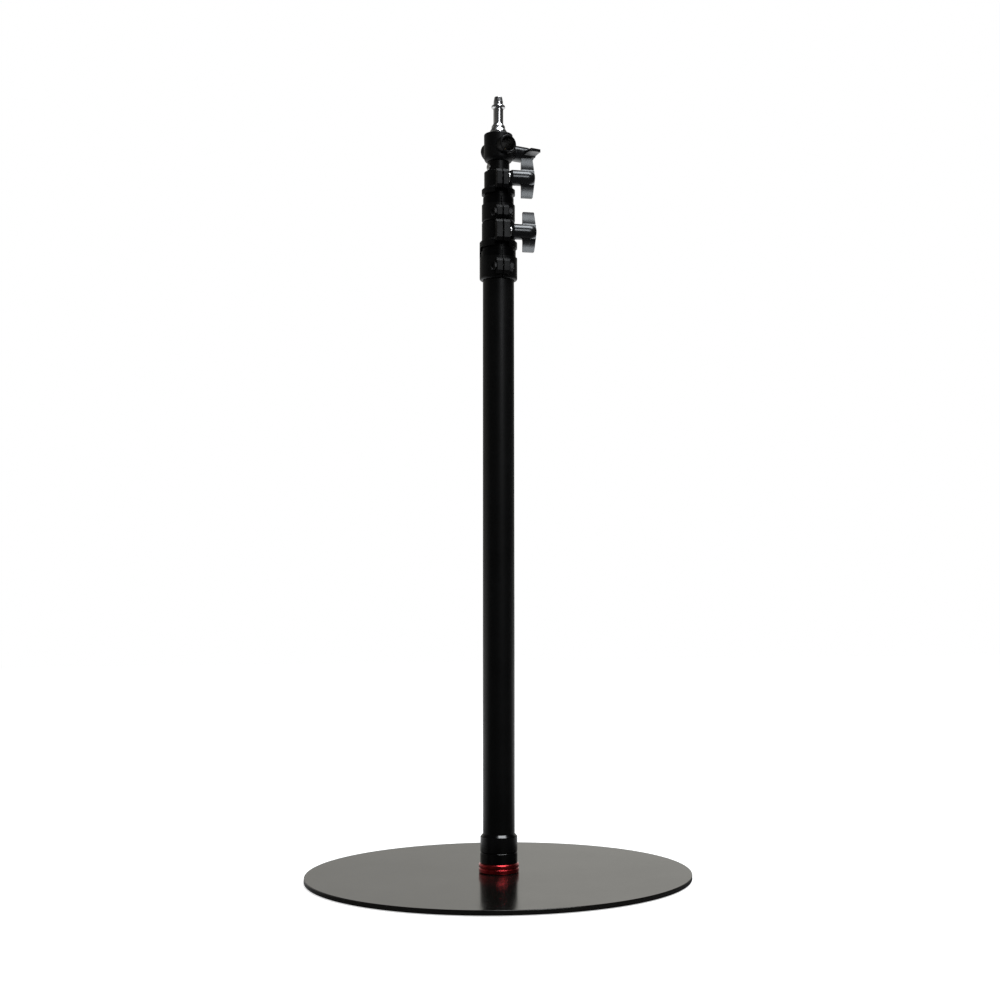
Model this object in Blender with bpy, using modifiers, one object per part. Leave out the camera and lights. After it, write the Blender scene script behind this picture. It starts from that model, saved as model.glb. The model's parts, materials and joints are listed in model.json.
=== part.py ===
"""Collapsed light stand on a round steel base, with two telescopic sections and a socket head.

Metres, +Z up. The origin is the centre of the footprint, on the floor.
The clamp ears of both collars face -Y and the collar handles point to +X.
"""

import math

import bmesh
import bpy
from mathutils import Matrix, Vector

# Fits shared by all pieces
FIT = 0.0003
SLIP = 0.0002
OVERLAP = 0.0005
REACH = 0.1
ROUND_STEPS = 38
MEDIUM_STEPS = 28
SMALL_STEPS = 20
HEXAGON = 6
BOLT_STEPS = 10
DOME_STEPS = 4
TAPER_STEPS = 4
WING_BOW_STEPS = 10
SCOOP_STEPS = 5
FILLET_STEPS = 3
EDGE_STEPS = 2
MERGE = 0.00001

# Base plate, its pads and its centre bolt
PLATE_RADIUS = 0.220
PLATE_THICKNESS = 0.0055
PLATE_EDGE_ROUND = 0.0009
PLATE_STEPS = 72
PAD_RADIUS = 0.011
PAD_HEIGHT = 0.0008
PAD_CIRCLE_RADIUS = 0.190
PAD_COUNT = 4
BASE_BOLT_RADIUS = 0.005
BASE_BOLT_HEAD_RADIUS = 0.0098
BASE_BOLT_LENGTH = 0.034
BASE_BOLT_KEY_WIDTH = 0.006
BASE_BOLT_KEY_DEPTH = 0.0026

# Rings and sleeves round the foot of the main tube
BASE_RING_RADIUS = 0.0230
BASE_RING_HEIGHT = 0.0107
BASE_RING_GROOVE = 0.0008
LOWER_SLEEVE_RADIUS = 0.0213
LOWER_SLEEVE_HEIGHT = 0.0120
UPPER_SLEEVE_RADIUS = 0.02125
UPPER_SLEEVE_HEIGHT = 0.0200
UPPER_SLEEVE_CHAMFER = 0.0012
BASE_PLUG_HEIGHT = 0.040

# Tubes
MAIN_TUBE_RADIUS = 0.01825
MAIN_TUBE_WALL = 0.0015
MAIN_TUBE_LENGTH = 0.7185
MIDDLE_TUBE_RADIUS = 0.0155
MIDDLE_TUBE_WALL = 0.0012
MIDDLE_FOOT_GAP = 0.0090
INNER_TUBE_RADIUS = 0.0130
INNER_TUBE_WALL = 0.0012
INNER_FOOT_GAP = 0.0160
MIDDLE_GUIDE_LENGTH = 0.112
INNER_GUIDE_LENGTH = 0.130
GUIDE_SLIP = 0.00022

# Lower collar, on the main tube
LOWER_CLAMP_RADIUS = 0.0220
LOWER_CLAMP_HEIGHT = 0.02635
LOWER_STEP_RADIUS = 0.0204
LOWER_STEP_HEIGHT = 0.00735
LOWER_NECK_RADIUS = 0.0190
LOWER_NECK_HEIGHT = 0.0036
LOWER_SKIRT_RADIUS = 0.0220
LOWER_SKIRT_HEIGHT = 0.00635
LOWER_SKIRT_FLARE = 0.0030
LOWER_GRIP_RADIUS = 0.0194
LOWER_GRIP_HEIGHT = 0.02085
LOWER_SPINE_HALF_ANGLE = math.radians(80.0)
LOWER_EAR_FRONT = 0.0286
LOWER_CLAMP_EAR_HALF_WIDTH = 0.0077
LOWER_GRIP_EAR_HALF_WIDTH = 0.0081
LOWER_CLAMP_EAR_HEIGHT = 0.0183
LOWER_CLAMP_EAR_RISE = 0.0035
LOWER_GRIP_EAR_HEIGHT = 0.02505
LOWER_GRIP_EAR_DROP = 0.0008
LOWER_GRIP_BOLT_RAISE = -0.0013
LOWER_BOLT_DISTANCE = 0.0242
LOWER_BUSH_WALL = 0.0014

# Upper collar, on the middle tube
UPPER_CLAMP_RADIUS = 0.0194
UPPER_CLAMP_HEIGHT = 0.02055
UPPER_STEP_RADIUS = 0.0180
UPPER_STEP_HEIGHT = 0.00855
UPPER_NECK_RADIUS = 0.0163
UPPER_NECK_HEIGHT = 0.0030
UPPER_SKIRT_RADIUS = 0.01955
UPPER_SKIRT_HEIGHT = 0.00575
UPPER_SKIRT_FLARE = 0.0024
UPPER_GRIP_RADIUS = 0.01665
UPPER_GRIP_HEIGHT = 0.01925
UPPER_SPINE_HALF_ANGLE = math.radians(44.0)
UPPER_EAR_FRONT = 0.0262
UPPER_CLAMP_EAR_HALF_WIDTH = 0.0071
UPPER_GRIP_EAR_HALF_WIDTH = 0.0070
UPPER_CLAMP_EAR_HEIGHT = 0.0159
UPPER_CLAMP_EAR_RISE = 0.0005
UPPER_GRIP_EAR_HEIGHT = 0.02175
UPPER_GRIP_EAR_DROP = 0.0016
UPPER_GRIP_BOLT_RAISE = 0.0015
UPPER_BOLT_DISTANCE = 0.0216
UPPER_BUSH_WALL = 0.0010

# Details that both collars share
COLLAR_SLIT = 0.0016
COLLAR_EDGE = 0.0012
# Share of each rounding's corner that its middle point keeps, and where the skirt's hollow flare bends
CORNER_SHARE = 0.3
FLARE_KNEE_OUT = 0.35
FLARE_KNEE_DOWN = 0.65
EAR_CHAMFER_OUT = 0.0033
EAR_CHAMFER_UP = 0.0036
EAR_ROOT_FILLET = 0.0016
EAR_EDGE_ROUND = 0.0007
EAR_GAP_MARGIN = 0.0005
EAR_BOLT_CLEARANCE = 0.0002
COLLAR_BOLT_RADIUS = 0.0030
COLLAR_BOLT_HEX = 0.010
COLLAR_BOLT_HEAD_HEIGHT = 0.0038
COLLAR_NUT_HEIGHT = 0.0050
CLAMP_BOLT_TAIL = 0.0012
COLLAR_BOLT_SPOT_RADIUS = 0.0064
COLLAR_BOLT_SPOT_DEPTH = 0.0002
WASHER_RADIUS = 0.0061
WASHER_THICKNESS = 0.0016
COLLAR_STACK_GAP = 0.0003

# Handle with two wings, the same on both collars and on the head
HANDLE_HUB_RADIUS = 0.0090
HANDLE_NOSE_RADIUS = 0.0071
HANDLE_NOSE_LENGTH = 0.0022
HANDLE_LENGTH = 0.0276
HANDLE_DOME_LENGTH = 0.0088
HANDLE_END_RADIUS = 0.0060
HANDLE_WING_START = 0.0122
HANDLE_WING_TIP_WIDTH = 0.0133
HANDLE_WING_HALF_LENGTH = 0.0234
HANDLE_TIP_HALF_THICKNESS = 0.0014
HANDLE_SCOOP_RADIUS = 0.0270
HANDLE_WING_EDGE = 0.0007
HANDLE_BORE_DEPTH = 0.0165
INSERT_RADIUS = 0.0050
INSERT_FLANGE_RADIUS = 0.0066
INSERT_FLANGE_HEIGHT = 0.0009
INSERT_THREAD_CLEARANCE = 0.0003
GRIP_BOLT_ENGAGEMENT = 0.0135

# Head
HEAD_TURN = math.radians(18.8)
# Turn of the head's handle about its own axis, from upright
HEAD_HANDLE_TILT = math.radians(88.5)
HEAD_STANDOFF = 0.0121
HEAD_RADIUS = 0.0168
HEAD_HEIGHT = 0.03315
HEAD_FOOT_RADIUS = 0.0134
HEAD_TAPER_HEIGHT = 0.0057
HEAD_TOP_EDGE = 0.0015
HEAD_SPUD_LENGTH = 0.0260
SOCKET_HEIGHT = 0.0170
SOCKET_BORE_RADIUS = 0.00825
SOCKET_RADIUS = 0.0107
SOCKET_HALF_LENGTH = 0.0235
SOCKET_RIM_EDGE = 0.0010
SOCKET_MOUTH = 0.0008
HEAD_SCREW_HEIGHT = 0.0144
HEAD_SCREW_RADIUS = 0.0040
HEAD_SCREW_BOSS_RADIUS = 0.0094
HEAD_SCREW_BOSS_REACH = 0.0183
HEAD_PAD_THICKNESS = 0.0024
HEAD_PAD_RECESS = 0.0004
FIXING_SCREW_DROP = 0.0071
FIXING_SCREW_RADIUS = 0.0020
FIXING_SCREW_HEAD_RADIUS = 0.0038
FIXING_SCREW_HEAD_HEIGHT = 0.0011
FIXING_SCREW_LENGTH = 0.0065

# Spigot on top of the head
SPIGOT_FOOT_RADIUS = 0.0101
SPIGOT_FOOT_HEIGHT = 0.0032
SPIGOT_RADIUS = 0.0080
SPIGOT_SEAT_BOTTOM = 0.0066
SPIGOT_SEAT_TOP = 0.0090
SPIGOT_WAIST_RADIUS = 0.00583
SPIGOT_WAIST_BOTTOM = 0.0123
SPIGOT_WAIST_TOP = 0.03055
SPIGOT_FLANGE_BOTTOM = 0.03135
SPIGOT_FLANGE_TOP = 0.0344
SPIGOT_FLANGE_ROUND = 0.0010
SPIGOT_STUD_RADIUS = 0.0056
SPIGOT_STUD_TAPER_BOTTOM = 0.0384
SPIGOT_STUD_TIP_RADIUS = 0.0045
SPIGOT_HEIGHT = 0.04465
SPIGOT_TAIL_RADIUS = 0.0050
SPIGOT_TAIL_LENGTH = 0.0057

# Heights that follow from the pieces below them
PLATE_BOTTOM = PAD_HEIGHT + SLIP
PLATE_TOP = PLATE_BOTTOM + PLATE_THICKNESS
MAIN_TUBE_BOTTOM = PLATE_TOP + FIT
MAIN_TUBE_TOP = MAIN_TUBE_BOTTOM + MAIN_TUBE_LENGTH
MAIN_TUBE_BORE = MAIN_TUBE_RADIUS - MAIN_TUBE_WALL
MIDDLE_TUBE_BORE = MIDDLE_TUBE_RADIUS - MIDDLE_TUBE_WALL
INNER_TUBE_BORE = INNER_TUBE_RADIUS - INNER_TUBE_WALL
BASE_PLUG_TOP = MAIN_TUBE_BOTTOM + BASE_PLUG_HEIGHT
BASE_BOLT_HEAD_HEIGHT = BASE_BOLT_HEAD_RADIUS - BASE_BOLT_RADIUS
MIDDLE_TUBE_BOTTOM = BASE_PLUG_TOP + MIDDLE_FOOT_GAP
INNER_TUBE_BOTTOM = MIDDLE_TUBE_BOTTOM + INNER_FOOT_GAP


class Finish:
    """Colour, roughness and metallic value of each material, kept once by name."""

    made = {}

    @classmethod
    def get(cls, name, colour, roughness, metallic):
        """Returns the material of this name, made on its first use."""
        if name not in cls.made:
            material = bpy.data.materials.new(name)
            material.use_nodes = True
            shader = material.node_tree.nodes["Principled BSDF"]
            shader.inputs["Base Color"].default_value = (*colour, 1.0)
            shader.inputs["Roughness"].default_value = roughness
            shader.inputs["Metallic"].default_value = metallic
            material.diffuse_color = (*colour, 1.0)
            cls.made[name] = material
        return cls.made[name]


def powder_coat():
    """Satin black powder coat of the plate."""
    return Finish.get("powder_coat", (0.028, 0.028, 0.028), 0.45, 0.0)


def tube_black():
    """Semi-matt black of the tubes."""
    return Finish.get("tube_black", (0.012, 0.012, 0.013), 0.42, 0.0)


def casting_black():
    """Black coating of the cast pieces."""
    return Finish.get("casting_black", (0.010, 0.010, 0.011), 0.38, 0.0)


def gloss_black():
    """Gloss black of the sleeves at the foot."""
    return Finish.get("gloss_black", (0.006, 0.006, 0.007), 0.12, 0.0)


def bush_black():
    """Black plastic of the bushes."""
    return Finish.get("bush_black", (0.014, 0.014, 0.016), 0.48, 0.0)


def handle_black():
    """Black moulded plastic of the handles."""
    return Finish.get("handle_black", (0.014, 0.014, 0.015), 0.30, 0.0)


def red_anodised():
    """Red anodised aluminium."""
    return Finish.get("red_anodised", (0.42, 0.006, 0.035), 0.25, 0.9)


def chrome():
    """Bright plated steel."""
    return Finish.get("chrome", (0.78, 0.78, 0.77), 0.08, 1.0)


def zinc():
    """Zinc plated steel of the fasteners."""
    return Finish.get("zinc", (0.62, 0.62, 0.61), 0.30, 1.0)


def black_steel():
    """Blackened steel of the clamp bolts."""
    return Finish.get("black_steel", (0.05, 0.05, 0.052), 0.35, 0.8)


def bare_aluminium():
    """Plain turned aluminium."""
    return Finish.get("bare_aluminium", (0.66, 0.66, 0.67), 0.35, 1.0)


def brass():
    """Turned brass."""
    return Finish.get("brass", (0.72, 0.52, 0.22), 0.28, 1.0)


def rubber():
    """Black rubber."""
    return Finish.get("rubber", (0.016, 0.016, 0.016), 0.8, 0.0)


def nylon():
    """Natural nylon of the guides."""
    return Finish.get("nylon", (0.62, 0.60, 0.55), 0.5, 0.0)


def clear_scene():
    """Removes whatever the file holds, so that the part stands alone."""
    for item in list(bpy.data.objects):
        bpy.data.objects.remove(item, do_unlink=True)


def new_collection(name):
    """Adds a collection to the scene and returns it."""
    collection = bpy.data.collections.new(name)
    bpy.context.scene.collection.children.link(collection)
    return collection


class Workshop:
    """The two collections and the ways a shape is made in them."""

    def __init__(self):
        self.parts = new_collection("light_stand")
        self.tools = new_collection("cutters")

    def empty(self, name, location=(0.0, 0.0, 0.0), turn=0.0, parent=None):
        """Adds an empty that carries an assembly."""
        item = bpy.data.objects.new(name, None)
        item.empty_display_size = 0.03
        item.location = location
        item.rotation_euler = (0.0, 0.0, turn)
        item.parent = parent
        self.parts.objects.link(item)
        return item

    def part(self, name, mesh, material, parent=None, location=(0.0, 0.0, 0.0)):
        """Adds a mesh as a named piece of the stand."""
        item = bpy.data.objects.new(name, mesh)
        item.data.materials.append(material)
        item.parent = parent
        item.location = location
        self.parts.objects.link(item)
        return item

    def tool(self, name, mesh, parent=None, location=(0.0, 0.0, 0.0)):
        """Adds a mesh as a hidden shape that cuts or joins."""
        item = bpy.data.objects.new(name, mesh)
        item.parent = parent
        item.location = location
        item.hide_render = True
        item.display_type = "WIRE"
        self.tools.objects.link(item)
        return item

    def evaluated_mesh(self, item):
        """Returns a new mesh of an object with its modifiers applied."""
        bpy.context.view_layer.update()
        graph = bpy.context.evaluated_depsgraph_get()
        return bpy.data.meshes.new_from_object(item.evaluated_get(graph))

    def turned_mesh(self, name, profile, steps, closed):
        """Turns a profile of (radius, height) points about Z into a mesh."""
        mesh = bpy.data.meshes.new(name)
        points = [(radius, 0.0, height) for radius, height in profile]
        edges = [(index, index + 1) for index in range(len(points) - 1)]
        if closed:
            edges.append((len(points) - 1, 0))
        mesh.from_pydata(points, edges, [])
        blank = self.tool(name + "_profile", mesh)
        screw = blank.modifiers.new("turn", "SCREW")
        screw.axis = "Z"
        screw.angle = math.tau
        screw.steps = steps
        screw.render_steps = steps
        screw.use_merge_vertices = True
        screw.merge_threshold = MERGE
        solid = self.evaluated_mesh(blank)
        bpy.data.objects.remove(blank, do_unlink=True)
        solid.name = name
        return solid

    def extruded_mesh(self, name, outline, low, high):
        """Extrudes a flat (x, y) outline from height low to height high."""
        curve = bpy.data.curves.new(name, "CURVE")
        curve.dimensions = "2D"
        curve.fill_mode = "BOTH"
        curve.extrude = (high - low) / 2
        spline = curve.splines.new("POLY")
        spline.points.add(len(outline) - 1)
        for point, (x, y) in zip(spline.points, outline):
            point.co = (x, y, 0.0, 1.0)
        spline.use_cyclic_u = True
        flat = self.tool(name + "_outline", curve)
        mesh = self.evaluated_mesh(flat)
        bpy.data.objects.remove(flat, do_unlink=True)
        mesh.transform(Matrix.Translation((0.0, 0.0, (low + high) / 2)))
        weld(mesh)
        mesh.name = name
        return mesh

    def combine(self, item, other, operation):
        """Adds an exact Boolean modifier between two objects."""
        step = item.modifiers.new(operation.lower() + "_" + other.name, "BOOLEAN")
        step.operation = operation
        step.solver = "EXACT"
        step.object = other

    def cut(self, item, name, mesh, parent=None, location=(0.0, 0.0, 0.0)):
        """Cuts a mesh away from a piece."""
        self.combine(item, self.tool(name, mesh, parent, location), "DIFFERENCE")

    def add(self, item, name, mesh, parent=None, location=(0.0, 0.0, 0.0)):
        """Joins a mesh to a piece."""
        self.combine(item, self.tool(name, mesh, parent, location), "UNION")


def weld(mesh):
    """Merges the loose caps of a mesh and points its faces outwards."""
    shape = bmesh.new()
    shape.from_mesh(mesh)
    bmesh.ops.remove_doubles(shape, verts=shape.verts, dist=MERGE)
    bmesh.ops.recalc_face_normals(shape, faces=shape.faces)
    shape.to_mesh(mesh)
    shape.free()


def smooth(item, angle=35.0):
    """Shades a round piece smooth, with its edges sharp."""
    item.data.shade_smooth()
    item.data.set_sharp_from_angle(angle=math.radians(angle))


def cylinder_mesh(name, radius, low, high, steps=SMALL_STEPS):
    """A cylinder or prism about Z from height low to height high, its flats square to X and Y if round."""
    mesh = bpy.data.meshes.new(name)
    shape = bmesh.new()
    turn = math.pi / steps if steps > HEXAGON else 0.0
    bmesh.ops.create_cone(
        shape,
        cap_ends=True,
        segments=steps,
        radius1=radius,
        radius2=radius,
        depth=high - low,
        matrix=Matrix.Translation((0.0, 0.0, (low + high) / 2)) @ Matrix.Rotation(turn, 4, "Z"),
    )
    shape.to_mesh(mesh)
    shape.free()
    return mesh


def box_mesh(name, low, high):
    """A box between two corners."""
    mesh = bpy.data.meshes.new(name)
    shape = bmesh.new()
    size = Vector(high) - Vector(low)
    centre = (Vector(high) + Vector(low)) / 2
    place = Matrix.Translation(centre) @ Matrix.Diagonal((*size, 1.0))
    bmesh.ops.create_cube(shape, size=1.0, matrix=place)
    shape.to_mesh(mesh)
    shape.free()
    return mesh


def along_x(mesh, y=0.0, z=0.0):
    """Turns a mesh made about Z so that its axis is X, through (y, z)."""
    mesh.transform(Matrix.Translation((0.0, y, z)) @ Matrix.Rotation(math.radians(90.0), 4, "Y"))
    return mesh


def along_y(mesh, x=0.0, z=0.0):
    """Turns a mesh made about Z so that its axis is Y, through (x, z)."""
    mesh.transform(Matrix.Translation((x, 0.0, z)) @ Matrix.Rotation(math.radians(-90.0), 4, "X"))
    return mesh


def swapped_axes(row_x, row_y, row_z):
    """A turn that is given by the rows of its matrix."""
    return Matrix((row_x, row_y, row_z)).to_4x4()


def hex_radius(across_flats):
    """Corner radius of a hexagon from its width across flats."""
    return across_flats / 2 / math.cos(math.radians(30.0))


def arc(centre_x, centre_y, radius, start, end, steps):
    """Points along an arc, ends included, with angles in radians."""
    return [
        (
            centre_x + radius * math.cos(start + (end - start) * index / steps),
            centre_y + radius * math.sin(start + (end - start) * index / steps),
        )
        for index in range(steps + 1)
    ]


def sector_outline(inner, outer, start, end):
    """Outline of an annular sector between two radii and two angles."""
    steps = max(4, round((end - start) / math.tau * ROUND_STEPS))
    return arc(0.0, 0.0, outer, start, end, steps) + arc(0.0, 0.0, inner, end, start, steps)


def tube_profile(inner, outer, low, high, edge=0.0):
    """Closed profile of a tube, with an optional bevel on its outer edges."""
    if edge == 0.0:
        return [(outer, high), (outer, low), (inner, low), (inner, high)]
    return [
        (outer - edge, high),
        (outer, high - edge),
        (outer, low + edge),
        (outer - edge, low),
        (inner, low),
        (inner, high),
    ]


def build_base(shop):
    """Plate, pads, centre bolt, plug, ring and sleeves."""
    edge = PLATE_EDGE_ROUND
    quarter = math.radians(90.0)
    corner = arc(PLATE_RADIUS - edge, PLATE_TOP - edge, edge, quarter, 0.0, EDGE_STEPS)
    under = arc(PLATE_RADIUS - edge, PLATE_BOTTOM + edge, edge, 0.0, -quarter, EDGE_STEPS)
    outline = [(0.0, PLATE_TOP)] + corner + under + [(0.0, PLATE_BOTTOM)]
    disc = shop.turned_mesh("base_plate", outline, PLATE_STEPS, False)
    plate = shop.part("base_plate", disc, powder_coat())
    smooth(plate)
    bolt_bottom = PLATE_BOTTOM + SLIP
    bolt_neck = bolt_bottom + BASE_BOLT_HEAD_HEIGHT
    hole = [
        (0.0, PLATE_TOP + OVERLAP),
        (BASE_BOLT_RADIUS + FIT, PLATE_TOP + OVERLAP),
        (BASE_BOLT_RADIUS + FIT, bolt_neck),
        (BASE_BOLT_HEAD_RADIUS + FIT, bolt_bottom),
        (BASE_BOLT_HEAD_RADIUS + FIT, PLATE_BOTTOM - OVERLAP),
        (0.0, PLATE_BOTTOM - OVERLAP),
    ]
    shop.cut(plate, "base_plate_hole", shop.turned_mesh("base_plate_hole", hole, SMALL_STEPS, False))

    for index in range(PAD_COUNT):
        angle = math.tau * (index + 0.5) / PAD_COUNT
        place = (PAD_CIRCLE_RADIUS * math.cos(angle), PAD_CIRCLE_RADIUS * math.sin(angle), 0.0)
        name = "foot_pad_%d" % (index + 1)
        shop.part(name, cylinder_mesh(name, PAD_RADIUS, 0.0, PAD_HEIGHT), rubber(), location=place)

    bolt = [
        (0.0, bolt_bottom + BASE_BOLT_LENGTH),
        (BASE_BOLT_RADIUS - EAR_EDGE_ROUND, bolt_bottom + BASE_BOLT_LENGTH),
        (BASE_BOLT_RADIUS, bolt_bottom + BASE_BOLT_LENGTH - EAR_EDGE_ROUND),
        (BASE_BOLT_RADIUS, bolt_neck),
        (BASE_BOLT_HEAD_RADIUS, bolt_bottom),
        (0.0, bolt_bottom),
    ]
    base_bolt = shop.part("base_bolt", shop.turned_mesh("base_bolt", bolt, SMALL_STEPS, False), zinc())
    smooth(base_bolt)
    key = cylinder_mesh(
        "base_bolt_key",
        hex_radius(BASE_BOLT_KEY_WIDTH),
        bolt_bottom - OVERLAP,
        bolt_bottom + BASE_BOLT_KEY_DEPTH,
        steps=HEXAGON,
    )
    shop.cut(base_bolt, "base_bolt_key", key)

    plug = tube_profile(
        BASE_BOLT_RADIUS + FIT,
        MAIN_TUBE_BORE - FIT,
        MAIN_TUBE_BOTTOM,
        BASE_PLUG_TOP,
        COLLAR_EDGE,
    )
    smooth(shop.part("base_plug", shop.turned_mesh("base_plug", plug, ROUND_STEPS, True), bare_aluminium()))

    bore = MAIN_TUBE_RADIUS + FIT
    low = PLATE_TOP + FIT
    high = low + BASE_RING_HEIGHT
    middle = (low + high) / 2
    groove = BASE_RING_GROOVE
    ring = [
        (BASE_RING_RADIUS - groove, high),
        (BASE_RING_RADIUS, high - groove),
        (BASE_RING_RADIUS, middle + groove),
        (BASE_RING_RADIUS - groove, middle),
        (BASE_RING_RADIUS, middle - groove),
        (BASE_RING_RADIUS, low + groove),
        (BASE_RING_RADIUS - groove, low),
        (bore, low),
        (bore, high),
    ]
    mesh = shop.turned_mesh("base_ring", ring, ROUND_STEPS, True)
    smooth(shop.part("base_ring", mesh, red_anodised()), 30.0)

    sleeves = [
        ("lower_sleeve", LOWER_SLEEVE_RADIUS, LOWER_SLEEVE_HEIGHT, UPPER_SLEEVE_CHAMFER / 2),
        ("upper_sleeve", UPPER_SLEEVE_RADIUS, UPPER_SLEEVE_HEIGHT, UPPER_SLEEVE_CHAMFER),
    ]
    for name, radius, height, chamfer in sleeves:
        low = high + FIT
        high = low + height
        rounding = arc(radius - chamfer, high - chamfer, chamfer, quarter, 0.0, EDGE_STEPS)
        outline = rounding + [(radius, low), (bore, low), (bore, high)]
        smooth(shop.part(name, shop.turned_mesh(name, outline, ROUND_STEPS, True), gloss_black()), 40.0)


def build_tube(shop, name, radius, wall, low, high, parent):
    """One plain tube of the telescope."""
    outline = tube_profile(radius - wall, radius, low, high)
    tube = shop.part(name, shop.turned_mesh(name, outline, ROUND_STEPS, True), tube_black(), parent)
    smooth(tube)
    return tube


def build_guide(shop, name, inner, outer, low, length, parent):
    """Plastic sleeve round the foot of a sliding tube, which also stops it at full height."""
    outline = tube_profile(inner + GUIDE_SLIP, outer - GUIDE_SLIP, low, low + length)
    smooth(shop.part(name, shop.turned_mesh(name, outline, ROUND_STEPS, True), nylon(), parent))


def ear_outline(half_width, back, front):
    """Plan of a pair of ears, with hollow fillets at the ring and round front edges."""
    fillet = EAR_ROOT_FILLET
    rounding = EAR_EDGE_ROUND
    quarter = math.radians(90.0)
    left_root = arc(-half_width - fillet, -back - fillet, fillet, quarter, 0.0, FILLET_STEPS)
    left_edge = arc(-half_width + rounding, -front + rounding, rounding, 2 * quarter, 3 * quarter, EDGE_STEPS)
    right_edge = arc(half_width - rounding, -front + rounding, rounding, -quarter, 0.0, EDGE_STEPS)
    right_root = arc(half_width + fillet, -back - fillet, fillet, 2 * quarter, quarter, FILLET_STEPS)
    wide = half_width + fillet
    return left_root + left_edge + right_edge + right_root + [(wide, fillet - back), (-wide, fillet - back)]


def ear_side_outline(front, low, high):
    """Side view of the ears in (height, distance) points, with both front chamfers."""
    return [
        (low, 0.0),
        (high, 0.0),
        (high, front - EAR_CHAMFER_OUT),
        (high - EAR_CHAMFER_UP, front),
        (low + EAR_CHAMFER_UP, front),
        (low, front - EAR_CHAMFER_OUT),
    ]


def ear_mesh(shop, name, half_width, back, front, low, high):
    """A pair of ears, as the common part of their plan and their side view."""
    plan = shop.extruded_mesh(name + "_plan", ear_outline(half_width, back, front), low, high)
    width = half_width + EAR_ROOT_FILLET + OVERLAP
    side = shop.extruded_mesh(name + "_side", ear_side_outline(front, low, high), -width, width)
    # The side view lies in X and Y: X becomes Z, Y becomes -Y and its thickness runs along X.
    side.transform(swapped_axes((0.0, 0.0, -1.0), (0.0, -1.0, 0.0), (1.0, 0.0, 0.0)))
    weld(side)
    item = shop.tool(name + "_blank", plan)
    shop.combine(item, shop.tool(name + "_side_blank", side), "INTERSECT")
    mesh = shop.evaluated_mesh(item)
    bpy.data.objects.remove(bpy.data.objects[name + "_side_blank"], do_unlink=True)
    bpy.data.objects.remove(item, do_unlink=True)
    mesh.name = name
    return mesh


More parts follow.
